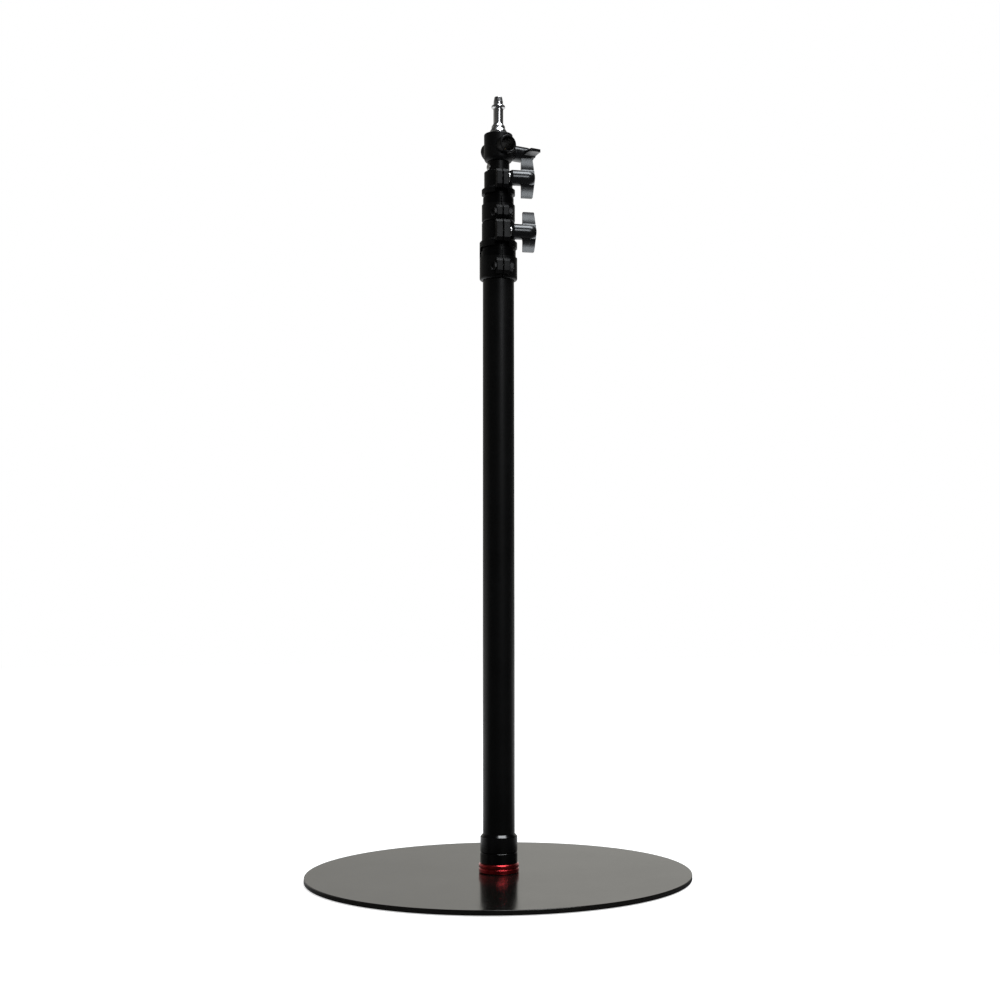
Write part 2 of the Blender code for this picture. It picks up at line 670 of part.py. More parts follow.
class Collar:
    """Split collar: a clamp ring on one tube and a grip ring on the tube that slides in it."""

    def __init__(self, shop, prefix, sizes, bottom, held_radius, slider_radius, parent):
        self.shop = shop
        self.prefix = prefix
        self.sizes = sizes
        self.bottom = bottom
        self.parent = parent
        self.clamp_bore = held_radius + FIT
        self.slider_bore = slider_radius + FIT
        self.grip_bore = self.slider_bore + sizes["bush_wall"] + FIT
        self.clamp_top = bottom + sizes["clamp_height"]
        self.step_top = self.clamp_top + FIT + sizes["step_height"]
        self.neck_top = self.step_top + sizes["neck_height"]
        self.skirt_bottom = self.neck_top + FIT
        self.skirt_top = self.skirt_bottom + sizes["skirt_height"]
        self.grip_bottom = self.skirt_top + sizes["skirt_flare"]
        self.top = self.grip_bottom + sizes["grip_height"]
        self.shoulder = self.neck_top - sizes["neck_height"] / 8
        self.tube_top = self.shoulder - FIT
        self.clamp_ear = (
            bottom + sizes["clamp_ear_rise"],
            bottom + sizes["clamp_ear_rise"] + sizes["clamp_ear_height"],
        )
        self.grip_ear = (
            self.top - sizes["grip_ear_drop"] - sizes["grip_ear_height"],
            self.top - sizes["grip_ear_drop"],
        )
        self.clamp_bolt_height = sum(self.clamp_ear) / 2
        self.grip_bolt_height = sum(self.grip_ear) / 2 + sizes["grip_bolt_raise"]

    def spine_angles(self, clearance=0.0):
        """Angles at which the open front ends, seen from above, on both sides of the spine."""
        half = self.sizes["spine_half_angle"] + clearance
        quarter = math.radians(90.0)
        return quarter + half, quarter - half + math.tau

    def cut(self, item, label, mesh):
        """Cuts a mesh of this collar away from one of its pieces."""
        self.shop.cut(item, "%s_%s" % (self.prefix, label), mesh, self.parent)

    def body(self):
        """The casting, with its window, skirt gap, ears, bores, slit and holes."""
        s = self.sizes
        edge = COLLAR_EDGE
        skirt = s["skirt_radius"]
        grip = s["grip_radius"]
        knee_radius = grip + (skirt - grip) * FLARE_KNEE_OUT
        knee_height = self.grip_bottom - s["skirt_flare"] * FLARE_KNEE_DOWN
        profile = [
            (0.0, self.top),
            (grip - edge, self.top),
            (grip - edge * CORNER_SHARE, self.top - edge * CORNER_SHARE),
            (grip, self.top - edge),
            (grip, self.grip_bottom),
            (knee_radius, knee_height),
            (skirt - edge / 2, self.skirt_top),
            (skirt, self.skirt_top - edge / 2),
            (skirt, self.skirt_bottom + edge / 2),
            (skirt - edge / 2, self.skirt_bottom),
            (s["clamp_radius"] - edge / 2, self.skirt_bottom - edge / 2),
            (s["clamp_radius"], self.skirt_bottom - edge),
            (s["clamp_radius"], self.bottom + 2 * edge),
            (s["clamp_radius"] - edge * 2 * CORNER_SHARE, self.bottom + edge * 2 * CORNER_SHARE),
            (s["clamp_radius"] - edge * 2, self.bottom),
            (0.0, self.bottom),
        ]
        name = self.prefix + "_collar"
        item = self.shop.part(
            name,
            self.shop.turned_mesh(name, profile, ROUND_STEPS, False),
            casting_black(),
            self.parent,
        )
        start, end = self.spine_angles()
        window = sector_outline(self.grip_bore - OVERLAP, skirt + COLLAR_EDGE, start, end)
        self.cut(
            item,
            "window",
            self.shop.extruded_mesh(self.prefix + "_window", window, self.clamp_top, self.skirt_bottom),
        )
        gap = s["grip_ear_half_width"] + EAR_GAP_MARGIN
        self.cut(
            item,
            "skirt_gap",
            box_mesh(
                self.prefix + "_skirt_gap",
                (-gap, -skirt - COLLAR_EDGE, self.skirt_bottom - OVERLAP),
                (gap, 0.0, self.skirt_top + EAR_GAP_MARGIN),
            ),
        )
        self.add_ears(item)
        bore = [
            (0.0, self.top + OVERLAP),
            (self.grip_bore, self.top + OVERLAP),
            (self.grip_bore, self.skirt_bottom),
            (self.clamp_bore, self.skirt_bottom),
            (self.clamp_bore, self.bottom - OVERLAP),
            (0.0, self.bottom - OVERLAP),
        ]
        self.cut(item, "bore", self.shop.turned_mesh(self.prefix + "_bore", bore, ROUND_STEPS, False))
        self.cut(
            item,
            "slit",
            box_mesh(
                self.prefix + "_slit",
                (-COLLAR_SLIT / 2, -REACH, self.bottom - OVERLAP),
                (COLLAR_SLIT / 2, 0.0, self.top + OVERLAP),
            ),
        )
        self.drill(item)
        smooth(item)
        return item

    def add_ears(self, item):
        """Joins the clamp ears and the grip ears to the casting."""
        s = self.sizes
        pairs = [
            ("clamp_ears", s["clamp_ear_half_width"], s["clamp_radius"], self.clamp_ear),
            ("grip_ears", s["grip_ear_half_width"], s["grip_radius"], self.grip_ear),
        ]
        for label, half_width, radius, (low, high) in pairs:
            reach = half_width + EAR_ROOT_FILLET
            back = math.sqrt(radius * radius - reach * reach) - FIT
            name = "%s_%s" % (self.prefix, label)
            mesh = ear_mesh(self.shop, name, half_width, back, s["ear_front"], low, high)
            self.shop.add(item, name, mesh, self.parent)

    def drill(self, item):
        """Bolt holes, spot faces and the pocket of the grip bolt's head."""
        s = self.sizes
        bolt_y = -s["bolt_distance"]
        hole = COLLAR_BOLT_RADIUS + EAR_BOLT_CLEARANCE
        spots = [
            ("clamp", s["clamp_ear_half_width"], self.clamp_bolt_height, (-1.0, 1.0)),
            ("grip", s["grip_ear_half_width"], self.grip_bolt_height, (1.0,)),
        ]
        for label, half_width, height, sides in spots:
            through = cylinder_mesh(label, hole, -half_width - OVERLAP, half_width + OVERLAP)
            self.cut(item, label + "_bolt_hole", along_x(through, bolt_y, height))
            for side in sides:
                ends = sorted((side * (half_width - COLLAR_BOLT_SPOT_DEPTH), side * (half_width + REACH / 5)))
                spot = cylinder_mesh(label, COLLAR_BOLT_SPOT_RADIUS, ends[0], ends[1])
                name = "%s_spot_%s" % (label, "right" if side > 0 else "left")
                self.cut(item, name, along_x(spot, bolt_y, height))
        start = -s["grip_ear_half_width"]
        pocket = cylinder_mesh(
            "pocket",
            hex_radius(COLLAR_BOLT_HEX) + FIT,
            start - REACH / 5,
            start + COLLAR_BOLT_HEAD_HEIGHT + FIT,
            steps=HEXAGON,
        )
        self.cut(item, "grip_bolt_pocket", along_x(pocket, bolt_y, self.grip_bolt_height))

    def bush(self):
        """Stepped plastic bush: a skirt round the held tube's end and a liner in the grip ring."""
        s = self.sizes
        skirt_bore = self.clamp_bore
        liner = self.slider_bore + s["bush_wall"]
        low = self.clamp_top + FIT
        profile = [
            (liner, self.top - FIT),
            (liner, self.neck_top),
            (s["neck_radius"], self.neck_top),
            (s["neck_radius"], self.step_top),
            (s["step_radius"] - COLLAR_EDGE / 2, self.step_top),
            (s["step_radius"], self.step_top - COLLAR_EDGE / 2),
            (s["step_radius"], low),
            (skirt_bore, low),
            (skirt_bore, self.shoulder),
            (self.slider_bore, self.shoulder),
            (self.slider_bore, self.top - FIT),
        ]
        name = self.prefix + "_bush"
        item = self.shop.part(
            name,
            self.shop.turned_mesh(name, profile, ROUND_STEPS, True),
            bush_black(),
            self.parent,
        )
        start, end = self.spine_angles()
        clearance = FIT / s["step_radius"] * 2
        notch = sector_outline(
            self.clamp_bore - FIT,
            s["skirt_radius"] + COLLAR_EDGE,
            end - math.tau - clearance,
            start + clearance,
        )
        notch_top = self.neck_top + OVERLAP
        mesh = self.shop.extruded_mesh(self.prefix + "_bush_notch", notch, low - OVERLAP, notch_top)
        self.cut(item, "bush_notch", mesh)
        self.cut(
            item,
            "bush_slit",
            box_mesh(
                self.prefix + "_bush_slit",
                (-COLLAR_SLIT / 2, -REACH, low - OVERLAP),
                (COLLAR_SLIT / 2, 0.0, self.top + OVERLAP),
            ),
        )
        smooth(item)

    def clamp_fasteners(self):
        """Hexagon bolt and nut that hold the lower ring on its tube."""
        s = self.sizes
        half = s["clamp_ear_half_width"] - COLLAR_BOLT_SPOT_DEPTH
        gap = COLLAR_STACK_GAP
        place = (0.0, -s["bolt_distance"], self.clamp_bolt_height)
        head_start = -half - gap - COLLAR_BOLT_HEAD_HEIGHT
        nut_start = half + gap
        nut_end = nut_start + COLLAR_NUT_HEIGHT
        tail = nut_end + CLAMP_BOLT_TAIL
        name = self.prefix + "_clamp_bolt"
        hexagon_bolt(self.shop, name, head_start, tail, black_steel(), place, self.parent)
        nut = cylinder_mesh("nut", hex_radius(COLLAR_BOLT_HEX), nut_start, nut_end, steps=HEXAGON)
        item = self.shop.part(self.prefix + "_clamp_nut", along_x(nut), black_steel(), self.parent, place)
        bore = COLLAR_BOLT_RADIUS + EAR_BOLT_CLEARANCE
        thread = cylinder_mesh("thread", bore, nut_start - OVERLAP, nut_end + OVERLAP)
        self.shop.cut(item, self.prefix + "_nut_thread", along_x(thread), self.parent, place)

    def grip_fasteners(self):
        """Long bolt held in the left ear, with the washer and the handle on its thread."""
        s = self.sizes
        half = s["grip_ear_half_width"]
        height = self.grip_bolt_height
        place = (0.0, -s["bolt_distance"], height)
        washer_x = half - COLLAR_BOLT_SPOT_DEPTH + COLLAR_STACK_GAP
        handle_x = washer_x + WASHER_THICKNESS + COLLAR_STACK_GAP + INSERT_FLANGE_HEIGHT + FIT
        tail = handle_x + GRIP_BOLT_ENGAGEMENT
        hexagon_bolt(self.shop, self.prefix + "_grip_bolt", -half, tail, zinc(), place, self.parent)
        washer = tube_profile(
            COLLAR_BOLT_RADIUS + EAR_BOLT_CLEARANCE,
            WASHER_RADIUS,
            washer_x,
            washer_x + WASHER_THICKNESS,
        )
        mesh = along_x(self.shop.turned_mesh(self.prefix + "_washer", washer, SMALL_STEPS, True))
        item = self.shop.part(self.prefix + "_washer", mesh, zinc(), self.parent, place)
        smooth(item)
        handle_place = (handle_x, -s["bolt_distance"], height)
        build_handle(self.shop, self.prefix + "_handle", self.parent, handle_place)
        build_insert(self.shop, self.prefix + "_handle_insert", self.parent, handle_place)


def hexagon_bolt(shop, name, head_start, tail, material, place, parent):
    """Bolt along X, with its hexagon head starting at head_start and its end at tail."""
    head_end = head_start + COLLAR_BOLT_HEAD_HEIGHT
    shank = shop.turned_mesh(
        name,
        [
            (0.0, tail),
            (COLLAR_BOLT_RADIUS - EAR_EDGE_ROUND, tail),
            (COLLAR_BOLT_RADIUS, tail - EAR_EDGE_ROUND),
            (COLLAR_BOLT_RADIUS, head_start + OVERLAP),
            (0.0, head_start + OVERLAP),
        ],
        BOLT_STEPS,
        False,
    )
    item = shop.part(name, along_x(shank), material, parent, place)
    head = cylinder_mesh(name + "_head", hex_radius(COLLAR_BOLT_HEX), head_start, head_end, steps=HEXAGON)
    shop.add(item, name + "_head", along_x(head), parent, place)


def handle_wing_outline():
    """Side view of the wings: flat towards the stand, bowed outwards, with round corners."""
    start = HANDLE_WING_START
    half = HANDLE_WING_HALF_LENGTH
    tip = start + HANDLE_WING_TIP_WIDTH
    bow = HANDLE_LENGTH - tip
    radius = (half * half + bow * bow) / (2 * bow)
    swing = math.asin(half / radius)
    bowed = arc(HANDLE_LENGTH - radius, 0.0, radius, -swing, swing, WING_BOW_STEPS)
    return [(start, -half)] + bowed + [(start, half)]


def handle_plan_outline():
    """Plan of the wings in (length, thickness) points: thin tips that scoop out to the round hub."""
    hub = HANDLE_HUB_RADIUS
    tip = HANDLE_TIP_HALF_THICKNESS
    scoop = HANDLE_SCOOP_RADIUS
    half = HANDLE_WING_HALF_LENGTH
    # The scoop's circle touches the hub's circle from outside and is lowest beside the tip.
    centre = math.sqrt((hub + scoop) ** 2 - (tip + scoop) ** 2)
    touch = math.atan2(tip + scoop, centre)
    quarter = [(half + OVERLAP, tip)]
    quarter += arc(centre, tip + scoop, scoop, math.radians(-90.0), touch - math.pi, SCOOP_STEPS)
    upper = quarter + [(-x, y) for x, y in reversed(quarter)]
    return upper + [(x, -y) for x, y in reversed(upper)]


def handle_wing_mesh(shop, name):
    """Both wings, as the common part of their side view and their plan, with broken edges."""
    depth = HANDLE_HUB_RADIUS
    side = shop.extruded_mesh(name + "_side", handle_wing_outline(), -depth, depth)
    # The side view's X stays X, its Y becomes Z and its thickness runs along Y.
    side.transform(swapped_axes((1.0, 0.0, 0.0), (0.0, 0.0, -1.0), (0.0, 1.0, 0.0)))
    plan = shop.extruded_mesh(name + "_plan", handle_plan_outline(), 0.0, HANDLE_LENGTH + OVERLAP)
    # The plan's X becomes Z, its Y stays Y and its thickness runs along X.
    plan.transform(swapped_axes((0.0, 0.0, 1.0), (0.0, 1.0, 0.0), (-1.0, 0.0, 0.0)))
    item = shop.tool(name + "_side_blank", side)
    other = shop.tool(name + "_plan_blank", plan)
    shop.combine(item, other, "INTERSECT")
    bevel = item.modifiers.new("edges", "BEVEL")
    bevel.width = HANDLE_WING_EDGE
    bevel.segments = 1
    bevel.limit_method = "ANGLE"
    bevel.angle_limit = math.radians(50.0)
    mesh = shop.evaluated_mesh(item)
    bpy.data.objects.remove(other, do_unlink=True)
    bpy.data.objects.remove(item, do_unlink=True)
    mesh.name = name
    return mesh


def build_handle(shop, name, parent, place, tilt=0.0):
    """Handle about its own X axis, with its origin on the face of its hub."""
    dome_start = HANDLE_LENGTH - HANDLE_DOME_LENGTH
    dome = [
        (
            HANDLE_HUB_RADIUS - (HANDLE_HUB_RADIUS - HANDLE_END_RADIUS) * (index / DOME_STEPS) ** 2,
            dome_start + HANDLE_DOME_LENGTH * index / DOME_STEPS,
        )
        for index in range(DOME_STEPS, -1, -1)
    ]
    hub = [(0.0, HANDLE_LENGTH)] + dome
    hub += [(HANDLE_HUB_RADIUS, HANDLE_NOSE_LENGTH), (HANDLE_NOSE_RADIUS, 0.0), (0.0, 0.0)]
    turned = along_x(shop.turned_mesh(name, hub, MEDIUM_STEPS, False))
    item = shop.part(name, turned, handle_black(), parent, place)
    item.rotation_euler = (tilt, 0.0, 0.0)
    wing = shop.tool(name + "_wings", handle_wing_mesh(shop, name + "_wings"), parent, place)
    wing.rotation_euler = (tilt, 0.0, 0.0)
    shop.combine(item, wing, "UNION")
    bore = cylinder_mesh(name + "_bore", INSERT_RADIUS + FIT, -OVERLAP, HANDLE_BORE_DEPTH)
    shop.cut(item, name + "_bore", along_x(bore), parent, place)
    smooth(item, 30.0)


def build_insert(shop, name, parent, place):
    """Threaded metal insert in the bore of a handle, with a flange that meets the washer."""
    bore = COLLAR_BOLT_RADIUS + INSERT_THREAD_CLEARANCE
    flange_end = -FIT
    profile = [
        (bore, HANDLE_BORE_DEPTH - FIT),
        (INSERT_RADIUS, HANDLE_BORE_DEPTH - FIT),
        (INSERT_RADIUS, flange_end),
        (INSERT_FLANGE_RADIUS, flange_end),
        (INSERT_FLANGE_RADIUS, flange_end - INSERT_FLANGE_HEIGHT),
        (bore, flange_end - INSERT_FLANGE_HEIGHT),
    ]
    mesh = along_x(shop.turned_mesh(name, profile, SMALL_STEPS, True))
    smooth(shop.part(name, mesh, zinc(), parent, place))


class Head:
    """Socket head on the inner tube, with its screw, handle and spigot."""

    def __init__(self, shop, bottom, parent):
        self.shop = shop
        self.bottom = bottom
        self.top = bottom + HEAD_HEIGHT
        self.frame = shop.empty("head_frame", turn=HEAD_TURN, parent=parent)
        self.socket = bottom + SOCKET_HEIGHT
        self.screw = bottom + HEAD_SCREW_HEIGHT
        self.fixing = bottom - FIXING_SCREW_DROP
        drop = self.socket - self.screw
        self.bore_side = math.sqrt(SOCKET_BORE_RADIUS**2 - drop**2)

    def cut(self, item, label, mesh):
        """Cuts a mesh, given in the head's own frame, away from a piece."""
        self.shop.cut(item, label, mesh, self.frame)

    def body(self):
        """Turned body with a spud in the tube, the cross socket and the screw boss."""
        # The foot rounds in as a quarter of an ellipse.
        taper_top = self.bottom + HEAD_TAPER_HEIGHT
        wide = HEAD_RADIUS - HEAD_FOOT_RADIUS
        rounded = [
            (HEAD_FOOT_RADIUS + across * wide, taper_top + up * HEAD_TAPER_HEIGHT)
            for across, up in arc(0.0, 0.0, 1.0, 0.0, math.radians(-90.0), TAPER_STEPS)
        ]
        spud = INNER_TUBE_BORE - FIT
        profile = [
            (0.0, self.top),
            (HEAD_RADIUS - HEAD_TOP_EDGE, self.top),
            (HEAD_RADIUS - HEAD_TOP_EDGE * CORNER_SHARE, self.top - HEAD_TOP_EDGE * CORNER_SHARE),
            (HEAD_RADIUS, self.top - HEAD_TOP_EDGE),
        ]
        spud_end = self.bottom - HEAD_SPUD_LENGTH
        profile += rounded
        profile += [(spud, self.bottom), (spud, spud_end), (0.0, spud_end)]
        mesh = self.shop.turned_mesh("head_body", profile, ROUND_STEPS, False)
        item = self.shop.part("head_body", mesh, casting_black(), self.frame)
        edge = SOCKET_RIM_EDGE
        half = SOCKET_HALF_LENGTH
        socket = [
            (0.0, half),
            (SOCKET_RADIUS - edge, half),
            (SOCKET_RADIUS - edge * CORNER_SHARE, half - edge * CORNER_SHARE),
            (SOCKET_RADIUS, half - edge),
            (SOCKET_RADIUS, edge - half),
            (SOCKET_RADIUS - edge * CORNER_SHARE, edge * CORNER_SHARE - half),
            (SOCKET_RADIUS - edge, -half),
            (0.0, -half),
        ]
        tube = along_y(self.shop.turned_mesh("head_socket", socket, MEDIUM_STEPS, False), z=self.socket)
        self.shop.add(item, "head_socket", tube, self.frame)
        reach = HEAD_SCREW_BOSS_REACH
        boss = cylinder_mesh("head_boss", HEAD_SCREW_BOSS_RADIUS, 0.0, reach, steps=MEDIUM_STEPS)
        self.shop.add(item, "head_boss", along_x(boss, z=self.screw), self.frame)
        mouth = SOCKET_BORE_RADIUS + SOCKET_MOUTH + OVERLAP
        bore = [
            (0.0, half + OVERLAP),
            (mouth, half + OVERLAP),
            (SOCKET_BORE_RADIUS, half - SOCKET_MOUTH),
            (SOCKET_BORE_RADIUS, SOCKET_MOUTH - half),
            (mouth, -half - OVERLAP),
            (0.0, -half - OVERLAP),
        ]
        through = self.shop.turned_mesh("head_bore", bore, MEDIUM_STEPS, False)
        # Half a step of turn keeps the bore's edges off those of the shapes that it cuts.
        through.transform(Matrix.Rotation(math.pi / MEDIUM_STEPS, 4, "Z"))
        self.cut(item, "head_bore", along_y(through, z=self.socket))
        screw_hole = cylinder_mesh("head_screw_hole", HEAD_SCREW_RADIUS + FIT, 0.0, reach + OVERLAP)
        self.cut(item, "head_screw_hole", along_x(screw_hole, z=self.screw))
        tail_low = self.top + FIT - SPIGOT_TAIL_LENGTH - FIT
        tail_hole = cylinder_mesh("head_tail_hole", SPIGOT_TAIL_RADIUS + FIT, tail_low, self.top + OVERLAP)
        self.cut(item, "head_tail_hole", tail_hole)
        self.cut(item, "head_fixing_hole", self.fixing_hole())
        smooth(item)

    def fixing_hole(self):
        """Hole for the fixing screw, along -X through the tube's wall and into the spud."""
        start = -INNER_TUBE_RADIUS - FIT - OVERLAP
        hole = cylinder_mesh(
            "fixing_hole",
            FIXING_SCREW_RADIUS + SLIP,
            start,
            start + OVERLAP + FIXING_SCREW_LENGTH + 2 * FIT,
            steps=BOLT_STEPS,
        )
        return along_x(hole, z=self.fixing)

    def fixing_screw(self):
        """Domed screw that pins the head to the tube."""
        seat = -INNER_TUBE_RADIUS - FIT
        radius = FIXING_SCREW_HEAD_RADIUS
        height = FIXING_SCREW_HEAD_HEIGHT
        rim = height / 3
        dome = [
            (radius * math.cos(turn), seat - rim - (height - rim) * math.sin(turn))
            for turn in (0.0, math.radians(30.0), math.radians(60.0))
        ]
        profile = [
            (0.0, seat + FIXING_SCREW_LENGTH),
            (FIXING_SCREW_RADIUS, seat + FIXING_SCREW_LENGTH),
            (FIXING_SCREW_RADIUS, seat),
            (radius, seat),
        ]
        profile += dome + [(0.0, seat - height)]
        mesh = along_x(self.shop.turned_mesh("head_fixing_screw", profile, SMALL_STEPS, False), z=self.fixing)
        smooth(self.shop.part("head_fixing_screw", mesh, zinc(), self.frame))

    def clamp_screw(self):
        """Handle with its stud and the brass pad that meets a pin in the socket."""
        pad_start = self.bore_side + HEAD_PAD_RECESS
        pad_end = pad_start + HEAD_PAD_THICKNESS
        pad = cylinder_mesh("head_pad", HEAD_SCREW_RADIUS - FIT, pad_start, pad_end)
        smooth(self.shop.part("head_pad", along_x(pad), brass(), self.frame, (0.0, 0.0, self.screw)))
        handle_x = HEAD_SCREW_BOSS_REACH + FIT
        stud_start = pad_end + FIT
        stud_end = handle_x + HANDLE_BORE_DEPTH - FIT
        stud = [
            (0.0, stud_end),
            (INSERT_RADIUS, stud_end),
            (INSERT_RADIUS, handle_x + FIT),
            (HEAD_SCREW_RADIUS, handle_x + FIT),
            (HEAD_SCREW_RADIUS, stud_start + EAR_EDGE_ROUND),
            (HEAD_SCREW_RADIUS - EAR_EDGE_ROUND, stud_start),
            (0.0, stud_start),
        ]
        mesh = along_x(self.shop.turned_mesh("head_stud", stud, SMALL_STEPS, False))
        smooth(self.shop.part("head_stud", mesh, zinc(), self.frame, (0.0, 0.0, self.screw)))
        build_handle(self.shop, "head_handle", self.frame, (handle_x, 0.0, self.screw), HEAD_HANDLE_TILT)

    def spigot(self):
        """Plated spigot with its seat, waist, flange and tapered stud."""
        foot = self.top + FIT
        rounding = SPIGOT_FLANGE_ROUND
        profile = [
            (0.0, foot + SPIGOT_HEIGHT),
            (SPIGOT_STUD_TIP_RADIUS - rounding / 2, foot + SPIGOT_HEIGHT),
            (SPIGOT_STUD_TIP_RADIUS, foot + SPIGOT_HEIGHT - rounding / 2),
            (SPIGOT_STUD_RADIUS, foot + SPIGOT_STUD_TAPER_BOTTOM),
            (SPIGOT_STUD_RADIUS, foot + SPIGOT_FLANGE_TOP),
            (SPIGOT_RADIUS - rounding, foot + SPIGOT_FLANGE_TOP),
            (SPIGOT_RADIUS, foot + SPIGOT_FLANGE_TOP - rounding),
            (SPIGOT_RADIUS, foot + SPIGOT_FLANGE_BOTTOM + rounding),
            (SPIGOT_RADIUS - rounding, foot + SPIGOT_FLANGE_BOTTOM),
            (SPIGOT_WAIST_RADIUS, foot + SPIGOT_WAIST_TOP),
            (SPIGOT_WAIST_RADIUS, foot + SPIGOT_WAIST_BOTTOM),
            (SPIGOT_RADIUS, foot + SPIGOT_SEAT_TOP),
            (SPIGOT_RADIUS, foot + SPIGOT_SEAT_BOTTOM),
            (SPIGOT_FOOT_RADIUS, foot + SPIGOT_FOOT_HEIGHT),
            (SPIGOT_FOOT_RADIUS, foot),
            (SPIGOT_TAIL_RADIUS, foot),
            (SPIGOT_TAIL_RADIUS, foot - SPIGOT_TAIL_LENGTH),
            (0.0, foot - SPIGOT_TAIL_LENGTH),
        ]
        mesh = self.shop.turned_mesh("spigot", profile, MEDIUM_STEPS, False)
        smooth(self.shop.part("spigot", mesh, chrome(), self.frame), 40.0)


LOWER_COLLAR = {
    "clamp_radius": LOWER_CLAMP_RADIUS,
    "clamp_height": LOWER_CLAMP_HEIGHT,
    "step_radius": LOWER_STEP_RADIUS,
    "step_height": LOWER_STEP_HEIGHT,
    "neck_radius": LOWER_NECK_RADIUS,
    "neck_height": LOWER_NECK_HEIGHT,
    "skirt_radius": LOWER_SKIRT_RADIUS,
    "skirt_height": LOWER_SKIRT_HEIGHT,
    "skirt_flare": LOWER_SKIRT_FLARE,
    "grip_radius": LOWER_GRIP_RADIUS,
    "grip_height": LOWER_GRIP_HEIGHT,
    "spine_half_angle": LOWER_SPINE_HALF_ANGLE,
    "ear_front": LOWER_EAR_FRONT,
    "clamp_ear_half_width": LOWER_CLAMP_EAR_HALF_WIDTH,
    "grip_ear_half_width": LOWER_GRIP_EAR_HALF_WIDTH,
    "clamp_ear_height": LOWER_CLAMP_EAR_HEIGHT,
    "clamp_ear_rise": LOWER_CLAMP_EAR_RISE,
    "grip_ear_height": LOWER_GRIP_EAR_HEIGHT,
    "grip_ear_drop": LOWER_GRIP_EAR_DROP,
    "grip_bolt_raise": LOWER_GRIP_BOLT_RAISE,
    "bolt_distance": LOWER_BOLT_DISTANCE,
    "bush_wall": LOWER_BUSH_WALL,
}

UPPER_COLLAR = {
    "clamp_radius": UPPER_CLAMP_RADIUS,
    "clamp_height": UPPER_CLAMP_HEIGHT,
    "step_radius": UPPER_STEP_RADIUS,
    "step_height": UPPER_STEP_HEIGHT,
    "neck_radius": UPPER_NECK_RADIUS,
    "neck_height": UPPER_NECK_HEIGHT,
    "skirt_radius": UPPER_SKIRT_RADIUS,
    "skirt_height": UPPER_SKIRT_HEIGHT,
    "skirt_flare": UPPER_SKIRT_FLARE,
    "grip_radius": UPPER_GRIP_RADIUS,
    "grip_height": UPPER_GRIP_HEIGHT,
    "spine_half_angle": UPPER_SPINE_HALF_ANGLE,
    "ear_front": UPPER_EAR_FRONT,
    "clamp_ear_half_width": UPPER_CLAMP_EAR_HALF_WIDTH,
    "grip_ear_half_width": UPPER_GRIP_EAR_HALF_WIDTH,
    "clamp_ear_height": UPPER_CLAMP_EAR_HEIGHT,
    "clamp_ear_rise": UPPER_CLAMP_EAR_RISE,
    "grip_ear_height": UPPER_GRIP_EAR_HEIGHT,
    "grip_ear_drop": UPPER_GRIP_EAR_DROP,
    "grip_bolt_raise": UPPER_GRIP_BOLT_RAISE,
    "bolt_distance": UPPER_BOLT_DISTANCE,
    "bush_wall": UPPER_BUSH_WALL,
}


def collar_reach(sizes):
    """Height from a collar's bottom to the end of the tube that it is clamped on."""
    neck_top = sizes["clamp_height"] + FIT + sizes["step_height"] + sizes["neck_height"]
    return neck_top - sizes["neck_height"] / 8 - FIT


def build_collar(shop, prefix, sizes, bottom, held_radius, slider_radius, parent):
    """All pieces of one collar; returns it for the heights of what follows."""
    collar = Collar(shop, prefix, sizes, bottom, held_radius, slider_radius, parent)
    collar.body()
    collar.bush()
    collar.clamp_fasteners()
    collar.grip_fasteners()
    return collar


def main():
    """Builds the stand from the floor up."""
    clear_scene()
    shop = Workshop()
    stand = shop.empty("stand_frame")
    middle = shop.empty("middle_frame", parent=stand)
    inner = shop.empty("inner_frame", parent=middle)

    build_base(shop)
    outer_radius = MAIN_TUBE_RADIUS
    middle_radius = MIDDLE_TUBE_RADIUS
    inner_radius = INNER_TUBE_RADIUS
    build_tube(shop, "main_tube", outer_radius, MAIN_TUBE_WALL, MAIN_TUBE_BOTTOM, MAIN_TUBE_TOP, stand)
    lower_bottom = MAIN_TUBE_TOP - collar_reach(LOWER_COLLAR)
    lower = build_collar(shop, "lower", LOWER_COLLAR, lower_bottom, outer_radius, middle_radius, stand)

    upper_bottom = lower.top + FIT
    upper = build_collar(shop, "upper", UPPER_COLLAR, upper_bottom, middle_radius, inner_radius, middle)
    top = upper_bottom + collar_reach(UPPER_COLLAR)
    low = MIDDLE_TUBE_BOTTOM
    build_tube(shop, "middle_tube", middle_radius, MIDDLE_TUBE_WALL, low, top, middle)
    build_guide(shop, "middle_guide", middle_radius, MAIN_TUBE_BORE, low, MIDDLE_GUIDE_LENGTH, middle)

    head = Head(shop, upper.top + HEAD_STANDOFF, inner)
    top = head.bottom - FIT
    low = INNER_TUBE_BOTTOM
    tube = build_tube(shop, "inner_tube", inner_radius, INNER_TUBE_WALL, low, top, inner)
    head.cut(tube, "inner_tube_hole", head.fixing_hole())
    build_guide(shop, "inner_guide", inner_radius, MIDDLE_TUBE_BORE, low, INNER_GUIDE_LENGTH, inner)
    head.body()
    head.fixing_screw()
    head.clamp_screw()
    head.spigot()
    bpy.context.view_layer.update()


main()
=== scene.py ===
"""Dressed light stand: a telescopic column on a round steel base, with split collars and a socket head.

Metres, +Z up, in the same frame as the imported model. The collars' ears face -Y and their handles
point to +X. Each class holds one sub-assembly; every finish is procedural.
"""

import json
import logging
import math
from dataclasses import dataclass, field
from enum import Enum
from functools import cached_property
from typing import Callable, Optional, Sequence

import bmesh
import bpy
import numpy as np
from mathutils import Matrix, Vector


